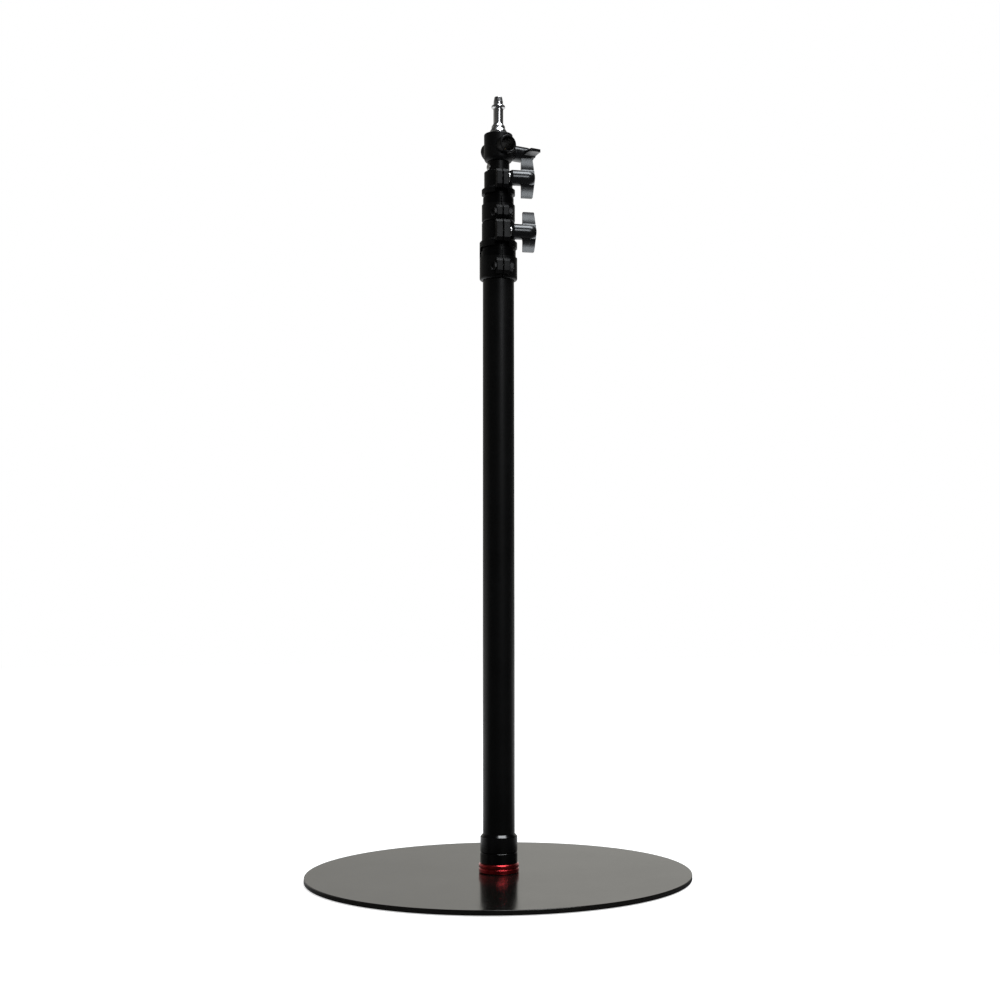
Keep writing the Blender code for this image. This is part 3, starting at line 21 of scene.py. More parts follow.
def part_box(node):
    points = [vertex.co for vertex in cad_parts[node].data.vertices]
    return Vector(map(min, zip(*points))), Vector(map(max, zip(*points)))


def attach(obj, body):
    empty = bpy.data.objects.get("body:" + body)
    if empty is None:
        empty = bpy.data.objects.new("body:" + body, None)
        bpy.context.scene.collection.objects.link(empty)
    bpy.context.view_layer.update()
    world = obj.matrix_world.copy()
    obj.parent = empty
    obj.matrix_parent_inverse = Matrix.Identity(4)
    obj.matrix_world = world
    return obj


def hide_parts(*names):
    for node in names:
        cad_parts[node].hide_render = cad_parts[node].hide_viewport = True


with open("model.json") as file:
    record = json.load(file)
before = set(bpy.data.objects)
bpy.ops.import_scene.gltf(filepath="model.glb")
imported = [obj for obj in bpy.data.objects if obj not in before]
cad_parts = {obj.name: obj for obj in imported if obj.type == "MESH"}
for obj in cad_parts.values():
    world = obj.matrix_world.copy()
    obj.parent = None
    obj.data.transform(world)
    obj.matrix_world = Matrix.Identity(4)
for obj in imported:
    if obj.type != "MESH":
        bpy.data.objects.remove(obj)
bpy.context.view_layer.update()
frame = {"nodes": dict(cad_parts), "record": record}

LOG = logging.getLogger("light_stand")

# Lengths that all pieces share, in metres
FIT = 0.0003  # gap between two pieces that fit together
SLIP = 0.0002  # gap round a screw
OVERLAP = 0.0005  # how far a cutter runs past what it cuts
SUPPORT = 0.0002  # distance of a supporting row from its corner
LONG_STRAIGHT = 6 * SUPPORT  # a longer straight gets supporting rows
TOUCH = 1.0e-6  # two measures this close are taken as equal
MERGE = 1.0e-7  # points this close become one

# Outer radii of the three tubes
MAIN_RADIUS = 0.01825
MIDDLE_RADIUS = 0.0155
INNER_RADIUS = 0.0130

# Creases in degrees: an edge sharper than its piece's own stays crisp
HEX_CREASE = 24.0
TURNED_CREASE = 25.0
SMALL_CREASE = 28.0
CAST_CREASE = 30.0

# Steps of the turned surfaces and of the arcs
CASTING_STEPS = 144
LATHE_STEPS = 128
HUB_STEPS = 96
BOLT_STEPS = 72
SMALL_LATHE_STEPS = 64
ROD_STEPS = 48
BOW_STEPS = 24
FIXING_STEPS = 13
FOOT_STEPS = 11
ROOT_STEPS = 10
SCOOP_STEPS = 8
ARC_STEPS = 6

# A side gives up less than half of its length to the rounding of one corner
CORNER_SHARE = 0.499

# Angles
STRAIGHT = 1.0e-4  # a corner this close to straight isn't rounded
QUARTER = math.pi / 2
SIXTH = math.tau / 6
HALF_SIXTH = math.tau / 12

# A hexagon's chamfer: how far past the flats its cone starts, and how fast it opens
HEX_LAND = 0.00016
HEX_SLOPE = 1.7

Point = tuple[float, float]
Place = tuple[float, float, float]
Colour = tuple[float, float, float]
RadiusRule = Callable[[np.ndarray, np.ndarray, np.ndarray], np.ndarray]


class Axis(Enum):
    """Axis that a turned piece is made about."""

    X = "x"
    Y = "y"
    Z = "z"


class Texture(Enum):
    """Kind of fine texture that a finish carries."""

    GRAIN = "grain"
    TURNED_X = "turned_x"
    TURNED_Z = "turned_z"


# Surfaces worked out as arrays


def filleted(points: Sequence[Point], radii: Sequence[float], closed: bool = True) -> np.ndarray:
    """Rounds the corners of an outline: each corner with a radius becomes an arc tangent to both sides.

    The arc starts radius / tan(half the corner's angle) before the corner and is sampled evenly.

    Args:
        points: the outline's corners.
        radii: one radius for each corner, 0 for a sharp one.
        closed: whether the last corner joins the first.

    Returns:
        The outline with its arcs, one row for each point.
    """
    corner = np.asarray(points, float)
    made = []
    count = len(corner)
    for index, radius in enumerate(radii):
        here = corner[index]
        end = not closed and index in (0, count - 1)
        if radius <= 0.0 or end:
            made.append(here[None, :])
            continue
        before = corner[index - 1] - here
        after = corner[(index + 1) % count] - here
        reach_before, reach_after = np.linalg.norm(before), np.linalg.norm(after)
        before, after = before / reach_before, after / reach_after
        half = math.acos(float(np.clip(before @ after, -1.0, 1.0))) / 2
        if half > QUARTER - STRAIGHT:
            made.append(here[None, :])
            continue
        inset = min(radius / math.tan(half), reach_before * CORNER_SHARE, reach_after * CORNER_SHARE)
        radius = inset * math.tan(half)
        middle = before + after
        centre = here + middle / np.linalg.norm(middle) * radius / math.sin(half)
        start, stop = here + before * inset - centre, here + after * inset - centre
        first = math.atan2(start[1], start[0])
        swing = (math.atan2(stop[1], stop[0]) - first + math.pi) % math.tau - math.pi
        angle = first + swing * np.linspace(0.0, 1.0, ARC_STEPS + 1)
        made.append(centre + radius * np.stack([np.cos(angle), np.sin(angle)], axis=1))
    return np.concatenate(made)


def arc_points(centre: Point, radius: float, start: float, end: float, steps: int) -> np.ndarray:
    """Points (cx + r cos t, cy + r sin t) with t running evenly from start to end."""
    angle = np.linspace(start, end, steps + 1)
    return np.stack([centre[0] + radius * np.cos(angle), centre[1] + radius * np.sin(angle)], axis=1)


def supported(outline: np.ndarray, closed: bool = True) -> np.ndarray:
    """Adds a point near both ends of each long straight, so that smooth shading stays at its corners.

    Args:
        outline: rows of (x, y).
        closed: whether the last point joins the first.

    Returns:
        The rows, with start + SUPPORT and end - SUPPORT added to each straight over LONG_STRAIGHT.
    """
    corner = np.asarray(outline, float)
    start, end = (corner, np.roll(corner, -1, axis=0)) if closed else (corner[:-1], corner[1:])
    run = end - start
    length = np.linalg.norm(run, axis=1, keepdims=True)
    step = run / np.maximum(length, MERGE) * SUPPORT
    rows = np.stack([start, start + step, end - step], axis=1)
    keep = np.repeat(length > LONG_STRAIGHT, 3, axis=1)
    keep[:, 0] = True
    made = rows[keep]
    return made if closed else np.vstack([made, corner[-1:]])


def mesh_from_arrays(name: str, points: np.ndarray, faces: np.ndarray) -> bpy.types.Mesh:
    """Puts arrays of points and four-sided faces into a new mesh, closes its seams and turns it outwards.

    Args:
        name: the mesh's name.
        points: coordinates, one row for each point.
        faces: four indices for each face.

    Returns:
        The closed mesh.
    """
    mesh = bpy.data.meshes.new(name)
    mesh.vertices.add(len(points))
    mesh.vertices.foreach_set("co", points.astype(np.float32).ravel())
    mesh.loops.add(faces.size)
    mesh.loops.foreach_set("vertex_index", faces.astype(np.int32).ravel())
    mesh.polygons.add(len(faces))
    mesh.polygons.foreach_set("loop_start", np.arange(0, faces.size, 4, dtype=np.int32))
    mesh.update(calc_edges=True)
    tidy_mesh(mesh)
    return mesh


def tidy_mesh(mesh: bpy.types.Mesh) -> None:
    """Merges coincident points of a mesh and recalculates its normals outwards."""
    shape = bmesh.new()
    shape.from_mesh(mesh)
    bmesh.ops.remove_doubles(shape, verts=shape.verts, dist=MERGE)
    bmesh.ops.dissolve_degenerate(shape, edges=shape.edges, dist=MERGE)
    bmesh.ops.recalc_face_normals(shape, faces=shape.faces)
    shape.to_mesh(mesh)
    shape.free()
    mesh.update()


def grid_faces(rows: int, columns: int, closed: bool) -> np.ndarray:
    """Index array of a grid's faces; columns wrap round, rows wrap where closed is true."""
    row = np.arange(rows if closed else rows - 1)
    column = np.arange(columns)
    r, c = np.meshgrid(row, column, indexing="ij")
    r2, c2 = (r + 1) % rows, (c + 1) % columns
    corners = [r * columns + c, r * columns + c2, r2 * columns + c2, r2 * columns + c]
    return np.stack([corner.ravel() for corner in corners], axis=1)


def lathe(
    name: str,
    profile: np.ndarray,
    axis: Axis = Axis.Z,
    centre: Place = (0.0, 0.0, 0.0),
    steps: int = LATHE_STEPS,
    closed: bool = True,
    shape: Optional[RadiusRule] = None,
) -> bpy.types.Mesh:
    """Surface of revolution: P(s, t) = (r(s) cos t, r(s) sin t, h(s)), about the given axis.

    Args:
        name: the mesh's name.
        profile: rows of (radius, height).
        axis: the axis that the profile turns about.
        centre: the axis's place.
        steps: divisions of the full turn.
        closed: whether the profile is a loop; an open one starts and ends on the axis.
        shape: optional rule that changes the radius, from the arrays (radius, height, turn).

    Returns:
        The closed mesh.
    """
    profile = supported(profile, closed)
    turn = np.linspace(0.0, math.tau, steps, endpoint=False)[None, :]
    radius = np.repeat(profile[:, :1], steps, axis=1)
    height = np.repeat(profile[:, 1:], steps, axis=1)
    if shape is not None:
        radius = shape(radius, height, turn)
    across, up = radius * np.cos(turn), radius * np.sin(turn)
    order = {Axis.Z: (across, up, height), Axis.X: (height, across, up), Axis.Y: (up, height, across)}[axis]
    points = np.stack(order, axis=-1).reshape(-1, 3) + np.asarray(centre, float)
    return mesh_from_arrays(name, points, grid_faces(len(profile), steps, closed))


def rod(
    name: str,
    radius: float,
    low: float,
    high: float,
    axis: Axis = Axis.Z,
    centre: Place = (0.0, 0.0, 0.0),
    steps: int = SMALL_LATHE_STEPS,
) -> bpy.types.Mesh:
    """Round cutter of one radius along an axis, from height low to height high."""
    profile = np.array([(0.0, low), (radius, low), (radius, high), (0.0, high)])
    return lathe(name, profile, axis, centre, steps, closed=False)


def prism(
    name: str, outline: np.ndarray, low: float, high: float, place: Optional[Matrix] = None
) -> bpy.types.Mesh:
    """Carries a flat outline (x, y) straight from height low to height high, with both ends filled.

    Args:
        name: the mesh's name.
        outline: rows of (x, y).
        low: lower height.
        high: upper height.
        place: optional turn of the finished prism.

    Returns:
        The closed mesh.
    """
    outline = np.asarray(outline, float)
    count = len(outline)
    flat = [np.column_stack([outline, np.full(count, height)]) for height in (low, high)]
    index = np.arange(count)
    following = (index + 1) % count
    sides = np.stack([index, following, following + count, index + count], axis=1)
    faces = sides.tolist() + [index[::-1].tolist(), (index + count).tolist()]
    mesh = bpy.data.meshes.new(name)
    mesh.from_pydata(np.concatenate(flat).tolist(), [], faces)
    if place is not None:
        mesh.transform(place)
    tidy_mesh(mesh)
    return mesh


def straight(radius: float, low: float, high: float, rows: int) -> np.ndarray:
    """Rows of a profile at one radius, with their heights running evenly from low to high."""
    return np.column_stack([np.full(rows, radius), np.linspace(low, high, rows)])


def block(name: str, low: Sequence[float], high: Sequence[float]) -> bpy.types.Mesh:
    """Cutting block between two corners, as a prism of its own plan."""
    plan = np.array([(low[0], low[1]), (high[0], low[1]), (high[0], high[1]), (low[0], high[1])])
    return prism(name, plan, low[2], high[2])


def turn_of(rows: Sequence[Sequence[float]]) -> Matrix:
    """A turn that is given by the three rows of its matrix."""
    return Matrix([list(row) for row in rows]).to_4x4()


def hex_corner(across_flats: float) -> float:
    """Corner radius of a hexagon from its width across flats."""
    return across_flats / 2 / math.cos(HALF_SIXTH)


def hexagon_rule(across_flats: float, low: float, high: float) -> RadiusRule:
    """Radius rule of a hexagon head: r = min(flat / cos(t mod 60 - 30), chamfer cone) between two heights.

    Args:
        across_flats: the hexagon's width.
        low: height where the hexagon starts.
        high: height where it ends.

    Returns:
        The rule for lathe().
    """

    def rule(radius: np.ndarray, height: np.ndarray, turn: np.ndarray) -> np.ndarray:
        """Changes the radius only where the profile marks the hexagon's outside."""
        within = (np.mod(turn + HALF_SIXTH, SIXTH) - HALF_SIXTH) * np.ones_like(radius)
        flat = across_flats / 2 / np.cos(within)
        end = np.minimum(height - low, high - height)
        cone = across_flats / 2 + np.clip(end, 0.0, None) * HEX_SLOPE + HEX_LAND
        outside = (radius > across_flats / 2 - TOUCH) & (height > low - TOUCH) & (height < high + TOUCH)
        return np.where(outside, np.minimum(flat, cone), radius)

    return rule


class Carver:
    """A solid that is shaped by joining and cutting."""

    def __init__(self, name: str, mesh: bpy.types.Mesh) -> None:
        """Puts the first shape on the bench."""
        self.name = name
        self.item = bpy.data.objects.new(name + "_blank", mesh)
        bpy.context.scene.collection.objects.link(self.item)

    def _apply(self) -> None:
        """Makes the live modifiers part of the mesh."""
        bpy.context.view_layer.update()
        graph = bpy.context.evaluated_depsgraph_get()
        made = bpy.data.meshes.new_from_object(self.item.evaluated_get(graph))
        self.item.modifiers.clear()
        old = self.item.data
        self.item.data = made
        bpy.data.meshes.remove(old)

    def _combine(self, mesh: bpy.types.Mesh, operation: str) -> "Carver":
        """Runs one Boolean with another mesh."""
        tool = bpy.data.objects.new(self.name + "_tool", mesh)
        bpy.context.scene.collection.objects.link(tool)
        step = self.item.modifiers.new(operation, "BOOLEAN")
        step.operation = operation
        step.solver = "MANIFOLD"
        step.object = tool
        self._apply()
        bpy.data.objects.remove(tool, do_unlink=True)
        bpy.data.meshes.remove(mesh)
        return self

    def join(self, mesh: bpy.types.Mesh) -> "Carver":
        """Adds a shape."""
        return self._combine(mesh, "UNION")

    def cut(self, mesh: bpy.types.Mesh) -> "Carver":
        """Cuts a shape away."""
        return self._combine(mesh, "DIFFERENCE")

    def keep(self, mesh: bpy.types.Mesh) -> "Carver":
        """Keeps only what lies inside a shape."""
        return self._combine(mesh, "INTERSECT")

    def take(self) -> bpy.types.Mesh:
        """Hands over the finished mesh and clears the bench."""
        mesh = self.item.data
        bpy.data.objects.remove(self.item, do_unlink=True)
        tidy_mesh(mesh)
        return mesh


# Finishes

# Height of a fine texture in metres, and how many times its relief is taken
BUMP_DEPTH = 0.00004
BUMP_GAIN = 4

# How the patches mix a slow and a fine cloud, and how far they spread the mix
FINE_RATIO = 14.0
SLOW_SHARE = 0.7
FINE_SHARE = 0.3
SPREAD_LOW = 0.35
SPREAD_HIGH = 0.65


@dataclass(frozen=True)
class Finish:
    """A finish and the measures of its fine detail.

    colour and tint are the two ends of its variation, and roughness swings by swing about its middle.
    """

    slot: str
    colour: Colour
    tint: Colour
    roughness: float
    swing: float = 0.05
    metallic: float = 0.0
    specular: float = 0.5
    shine_tint: Colour = (1.0, 1.0, 1.0)
    coat: float = 0.0
    coat_roughness: float = 0.05
    texture: Texture = Texture.GRAIN
    scale: float = 900.0
    relief: float = 0.05
    patch_scale: float = 18.0


FINISHES: dict[str, Finish] = {
    finish.slot: finish
    for finish in (
        Finish("powder_coat", (0.0036, 0.0034, 0.0031), (0.0048, 0.0045, 0.0041), 0.17, 0.02,
               shine_tint=(1.0, 0.985, 0.92), scale=2200.0, relief=0.004, patch_scale=9.0),
        Finish("tube_black", (0.0010, 0.0010, 0.0011), (0.0018, 0.0018, 0.0019), 0.40, 0.04,
               specular=0.25, scale=1800.0, relief=0.008),
        Finish("casting_black", (0.0012, 0.0012, 0.0013), (0.0021, 0.0021, 0.0023), 0.42, 0.05, specular=0.20,
               scale=1100.0, relief=0.03),
        Finish("gloss_black", (0.0006, 0.0006, 0.0008), (0.0010, 0.0010, 0.0012), 0.17, 0.02,
               scale=600.0, relief=0.004),
        Finish("bush_black", (0.0010, 0.0010, 0.0012), (0.0016, 0.0016, 0.0020), 0.36, 0.05, specular=0.09,
               scale=1000.0, relief=0.02),
        Finish("handle_black", (0.0030, 0.0031, 0.0034), (0.0044, 0.0045, 0.0050), 0.25, 0.03, specular=0.6,
               shine_tint=(0.95, 0.98, 1.0), scale=1500.0, relief=0.008),
        Finish("red_anodised", (0.50, 0.0005, 0.0050), (0.59, 0.0009, 0.0080), 0.26, 0.03, metallic=1.0,
               coat=0.9, coat_roughness=0.26, texture=Texture.TURNED_Z, scale=5200.0, relief=0.006),
        Finish("chrome", (0.54, 0.54, 0.55), (0.62, 0.62, 0.63), 0.24, 0.04, metallic=1.0,
               texture=Texture.TURNED_Z, scale=4200.0, relief=0.010),
        Finish("zinc", (0.56, 0.56, 0.55), (0.70, 0.70, 0.69), 0.30, 0.08, metallic=1.0,
               texture=Texture.TURNED_X, scale=3000.0, relief=0.03),
        Finish("black_steel", (0.0015, 0.0015, 0.0017), (0.0030, 0.0030, 0.0034), 0.36, 0.06, specular=0.30,
               scale=1300.0, relief=0.03),
        Finish("bare_aluminium", (0.58, 0.58, 0.59), (0.70, 0.70, 0.71), 0.34, 0.06, metallic=1.0,
               texture=Texture.TURNED_Z, scale=3000.0, relief=0.03),
        Finish("brass", (0.66, 0.46, 0.18), (0.78, 0.57, 0.26), 0.28, 0.06, metallic=1.0,
               texture=Texture.TURNED_X, scale=3000.0, relief=0.03),
        Finish("rubber", (0.010, 0.010, 0.010), (0.018, 0.018, 0.018), 0.82, 0.06, scale=700.0, relief=0.12),
        Finish("nylon", (0.55, 0.53, 0.47), (0.66, 0.64, 0.58), 0.46, 0.06, scale=500.0, relief=0.05),
    )
}


class NodeSheet:
    """Adds nodes to a tree, sets them and links them."""

    def __init__(self, tree: bpy.types.NodeTree) -> None:
        """Keeps the tree."""
        self.tree = tree

    def add(self, kind: str, **values: object) -> bpy.types.Node:
        """Adds a node; values name its properties, or its inputs where no property has that name."""
        node = self.tree.nodes.new(kind)
        for key, value in values.items():
            if hasattr(node, key):
                setattr(node, key, value)
            else:
                node.inputs[key.replace("_", " ")].default_value = value
        return node

    def set(self, node: bpy.types.Node, **values: object) -> bpy.types.Node:
        """Sets a node's inputs by name, with _ for a space, and hands the node back."""
        for key, value in values.items():
            node.inputs[key.replace("_", " ")].default_value = value
        return node

    def link(self, source: bpy.types.NodeSocket, target: bpy.types.NodeSocket) -> None:
        """Joins two sockets."""
        self.tree.links.new(source, target)

    def maths(self, operation: str, first: object, second: object = 0.0) -> bpy.types.NodeSocket:
        """Adds a maths node, each input a socket or a number, and returns its output."""
        node = self.add("ShaderNodeMath", operation=operation)
        for socket, value in zip(node.inputs, (first, second)):
            if isinstance(value, bpy.types.NodeSocket):
                self.link(value, socket)
            else:
                socket.default_value = value
        return node.outputs[0]


class Effects:
    """The node groups that several finishes share, each built on its first use."""

    def _group(self, name: str, inputs: dict[str, str], outputs: dict[str, str]) -> NodeSheet:
        """Adds an empty group with named sockets, given as name and kind."""
        tree = bpy.data.node_groups.new(name, "ShaderNodeTree")
        for side, sockets in (("INPUT", inputs), ("OUTPUT", outputs)):
            for label, kind in sockets.items():
                tree.interface.new_socket(name=label, in_out=side, socket_type="NodeSocket" + kind)
        return NodeSheet(tree)

    @cached_property
    def patches(self) -> bpy.types.NodeTree:
        """Slow cloudy variation between two colours, with a matching change of roughness."""
        sheet = self._group(
            "patches",
            {"Colour": "Color", "Tint": "Color", "Scale": "Float", "Roughness": "Float", "Swing": "Float"},
            {"Colour": "Color", "Roughness": "Float"},
        )
        source, sink = sheet.add("NodeGroupInput"), sheet.add("NodeGroupOutput")
        place = sheet.add("ShaderNodeTexCoord")
        cloud = sheet.add("ShaderNodeTexNoise", Detail=4.0, Roughness=0.55)
        fine = sheet.add("ShaderNodeTexNoise", Detail=2.0, Roughness=0.5)
        for noise in (cloud, fine):
            sheet.link(place.outputs["Object"], noise.inputs["Vector"])
        sheet.link(source.outputs["Scale"], cloud.inputs["Scale"])
        sheet.link(sheet.maths("MULTIPLY", source.outputs["Scale"], FINE_RATIO), fine.inputs["Scale"])
        slow = sheet.maths("MULTIPLY", cloud.outputs["Fac"], SLOW_SHARE)
        quick = sheet.maths("MULTIPLY", fine.outputs["Fac"], FINE_SHARE)
        spread = sheet.add("ShaderNodeMapRange", From_Min=SPREAD_LOW, From_Max=SPREAD_HIGH)
        sheet.link(sheet.maths("ADD", slow, quick), spread.inputs["Value"])
        mix = sheet.add("ShaderNodeMix", data_type="RGBA")
        sheet.link(spread.outputs["Result"], mix.inputs["Factor"])
        sheet.link(source.outputs["Colour"], mix.inputs["A"])
        sheet.link(source.outputs["Tint"], mix.inputs["B"])
        centred = sheet.maths("SUBTRACT", spread.outputs["Result"], 0.5)
        change = sheet.maths("MULTIPLY", centred, source.outputs["Swing"])
        sheet.link(sheet.maths("ADD", source.outputs["Roughness"], change), sink.inputs["Roughness"])
        sheet.link(mix.outputs["Result"], sink.inputs["Colour"])
        return sheet.tree

    @cached_property
    def grain(self) -> bpy.types.NodeTree:
        """Fine even bumps of a coating or a moulded skin, as a height."""
        sheet = self._group("grain", {"Scale": "Float"}, {"Height": "Float"})
        source, sink = sheet.add("NodeGroupInput"), sheet.add("NodeGroupOutput")
        place = sheet.add("ShaderNodeTexCoord")
        noise = sheet.add("ShaderNodeTexNoise", Detail=3.0, Roughness=0.6)
        cells = sheet.add("ShaderNodeTexVoronoi")
        for node in (noise, cells):
            sheet.link(place.outputs["Object"], node.inputs["Vector"])
            sheet.link(source.outputs["Scale"], node.inputs["Scale"])
        height = sheet.maths("MULTIPLY", cells.outputs["Distance"], 0.5)
        sheet.link(sheet.maths("ADD", noise.outputs["Fac"], height), sink.inputs["Height"])
        return sheet.tree

    @cached_property
    def turned(self) -> bpy.types.NodeTree:
        """Fine lines that a lathe leaves, which vary only along the piece's own axis."""
        sheet = self._group("turned", {"Along": "Float", "Scale": "Float"}, {"Height": "Float"})
        source, sink = sheet.add("NodeGroupInput"), sheet.add("NodeGroupOutput")
        line = sheet.add("ShaderNodeTexNoise", noise_dimensions="1D", Detail=4.0, Roughness=0.7)
        sheet.link(source.outputs["Along"], line.inputs["W"])
        sheet.link(source.outputs["Scale"], line.inputs["Scale"])
        sheet.link(line.outputs["Fac"], sink.inputs["Height"])
        return sheet.tree


class Dresser:
    """Makes each finish's material once and gives it to pieces and to the carried-over nodes."""

    def __init__(self) -> None:
        """Starts with the shared effects and no material."""
        self.effects = Effects()
        self.made: dict[str, bpy.types.Material] = {}

    def _use(self, sheet: NodeSheet, tree: bpy.types.NodeTree) -> bpy.types.Node:
        """Places a shared effect in a material."""
        node = sheet.add("ShaderNodeGroup")
        node.node_tree = tree
        return node

    def material(self, slot: str) -> bpy.types.Material:
        """The material of a slot.

        Args:
            slot: the finish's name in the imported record.

        Returns:
            The material, built on its first use.
        """
        if slot in self.made:
            return self.made[slot]
        finish = FINISHES[slot]
        material = bpy.data.materials.new("dressed_" + slot)
        material.use_nodes = True
        sheet = NodeSheet(material.node_tree)
        shader = sheet.set(
            material.node_tree.nodes["Principled BSDF"],
            Metallic=finish.metallic,
            Specular_IOR_Level=finish.specular,
            Specular_Tint=(*finish.shine_tint, 1.0),
            Coat_Weight=finish.coat,
            Coat_Roughness=finish.coat_roughness,
        )
        patches = sheet.set(
            self._use(sheet, self.effects.patches),
            Colour=(*finish.colour, 1.0),
            Tint=(*finish.tint, 1.0),
            Scale=finish.patch_scale,
            Roughness=finish.roughness,
            Swing=2 * finish.swing,
        )
        sheet.link(patches.outputs["Colour"], shader.inputs["Base Color"])
        sheet.link(patches.outputs["Roughness"], shader.inputs["Roughness"])
        bump = sheet.add("ShaderNodeBump", Strength=finish.relief * BUMP_GAIN, Distance=BUMP_DEPTH)
        sheet.link(self._height(sheet, finish), bump.inputs["Height"])
        sheet.link(bump.outputs["Normal"], shader.inputs["Normal"])
        self.made[slot] = material
        return material

    def _height(self, sheet: NodeSheet, finish: Finish) -> bpy.types.NodeSocket:
        """The height that a finish's fine texture gives."""
        if finish.texture is Texture.GRAIN:
            grain = self._use(sheet, self.effects.grain)
            return sheet.set(grain, Scale=finish.scale).outputs["Height"]
        place = sheet.add("ShaderNodeTexCoord")
        split = sheet.add("ShaderNodeSeparateXYZ")
        sheet.link(place.outputs["Object"], split.inputs["Vector"])
        turned = sheet.set(self._use(sheet, self.effects.turned), Scale=finish.scale)
        along = "X" if finish.texture is Texture.TURNED_X else "Z"
        sheet.link(split.outputs[along], turned.inputs["Along"])
        return turned.outputs["Height"]

    def piece(
        self,
        name: str,
        mesh: bpy.types.Mesh,
        slot: str,
        body: str,
        replaced: Sequence[str],
        crease: float,
    ) -> None:
        """Adds a finished mesh as a piece that rides on a body.

        Args:
            name: the piece's name.
            mesh: its mesh, already in place.
            slot: the record's slot that it takes its finish from.
            body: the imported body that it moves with.
            replaced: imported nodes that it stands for.
            crease: edges sharper than this many degrees stay crisp.
        """
        mesh.name = name
        mesh.materials.clear()
        mesh.materials.append(self.material(slot))
        mesh.shade_smooth()
        mesh.set_sharp_from_angle(angle=math.radians(crease))
        item = bpy.data.objects.new(name, mesh)
        bpy.context.scene.collection.objects.link(item)
        shading = item.modifiers.new("even_shading", "WEIGHTED_NORMAL")
        shading.keep_sharp = True
        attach(item, body)
        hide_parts(*replaced)
        LOG.info("%s: %d faces, on %s, finish %s", name, len(mesh.polygons), body, slot)

    def dress_nodes(self) -> None:
        """Gives every carried-over node the material of its own slot."""
        slots = {row["node"]: row["material_slot"] for row in frame["record"]["subparts"]}
        for name, item in frame["nodes"].items():
            if item.hide_render:
                continue
            material = self.material(slots[name])
            if item.material_slots:
                for place in item.material_slots:
                    place.material = material
            else:
                item.data.materials.append(material)
            LOG.info("%s: packed node, finish %s", name, slots[name])


# Sub-assemblies


@dataclass
class Base:
    """Round plate, ring and sleeves."""

    dresser: Dresser
    body: str = "base_section"
    plate_radius: float = 0.220
    plate_bottom: float = 0.0010
    plate_thickness: float = 0.0055
    plate_round: float = 0.0009
    bolt_radius: float = 0.0050
    bolt_head_radius: float = 0.0098
    tube_radius: float = MAIN_RADIUS
    ring_radius: float = 0.0230
    ring_height: float = 0.0107
    ring_groove: float = 0.0008
    ring_crown: float = 0.0021
    ring_lip: float = 0.0011
    ring_foot: float = 0.0012
    groove_round: float = 0.0002
    lower_sleeve_radius: float = 0.0213
    lower_sleeve_height: float = 0.0120
    upper_sleeve_radius: float = 0.02125
    upper_sleeve_height: float = 0.0200
    shoulder_in: float = 0.0026
    shoulder_down: float = 0.0028
    lower_shoulder: float = 0.0007
    mouth_round: float = 0.0002
    foot_round: float = 0.0003
    share_in: float = 0.30
    share_down: float = 0.50

    @property
    def plate_top(self) -> float:
        """Height of the plate's upper face."""
        return self.plate_bottom + self.plate_thickness

    def plate(self) -> None:
        """Plate with a rounded rim and the countersunk hole under it; its profile turns about Z."""
        low, high, rim = self.plate_bottom, self.plate_top, self.plate_radius
        head_low = low + SLIP
        head_high = head_low + self.bolt_head_radius - self.bolt_radius
        hole, head = self.bolt_radius + FIT, self.bolt_head_radius + FIT
        points = [(hole, high), (rim, high), (rim, low), (head, low), (head, head_low), (hole, head_high)]
        radii = [0.0, self.plate_round, self.plate_round, 0.0, 0.0, 0.0]
        mesh = lathe("plate", filleted(points, radii), steps=2 * LATHE_STEPS)
        self.dresser.piece("plate", mesh, "powder_coat", self.body, ["base_plate"], crease=TURNED_CREASE)

    def ring(self) -> None:
        """Anodised ring: two rounded bands with a V groove between them."""
        bore = self.tube_radius + FIT
        low = self.plate_top + FIT
        high = low + self.ring_height
        middle, outer, groove = (low + high) / 2, self.ring_radius, self.ring_groove
        points = [
            (bore, high), (outer, high), (outer, middle + groove), (outer - groove, middle),
            (outer, middle - groove), (outer, low), (bore, low),
        ]
        radii = [0.0, self.ring_crown, self.ring_lip, self.groove_round, self.ring_lip, self.ring_foot, 0.0]
        mesh = lathe("ring", filleted(points, radii))
        self.dresser.piece("ring", mesh, "red_anodised", self.body, ["base_ring"], crease=TURNED_CREASE)

    def sleeves(self) -> None:
        """Two gloss sleeves, the upper one with a broad rounded shoulder."""
        bore = self.tube_radius + FIT
        high = self.plate_top + FIT + self.ring_height
        small, broad = (self.lower_shoulder, self.lower_shoulder), (self.shoulder_in, self.shoulder_down)
        rows = [
            ("lower", self.lower_sleeve_radius, self.lower_sleeve_height, small),
            ("upper", self.upper_sleeve_radius, self.upper_sleeve_height, broad),
        ]
        for which, radius, height, (inwards, down) in rows:
            low = high + FIT
            high = low + height
            mouth = radius - inwards
            points = [(bore, high), (mouth, high), (radius, high - down), (radius, low), (bore, low)]
            radii = [self.mouth_round, inwards * self.share_in, down * self.share_down, self.foot_round, 0.0]
            mesh = lathe(f"{which}_sleeve", filleted(points, radii))
            name, node = f"{which}_gloss_sleeve", f"{which}_sleeve"
            self.dresser.piece(name, mesh, "gloss_black", self.body, [node], crease=TURNED_CREASE)

    def build(self) -> None:
        """Makes the whole base."""
        self.plate()
        self.ring()
        self.sleeves()


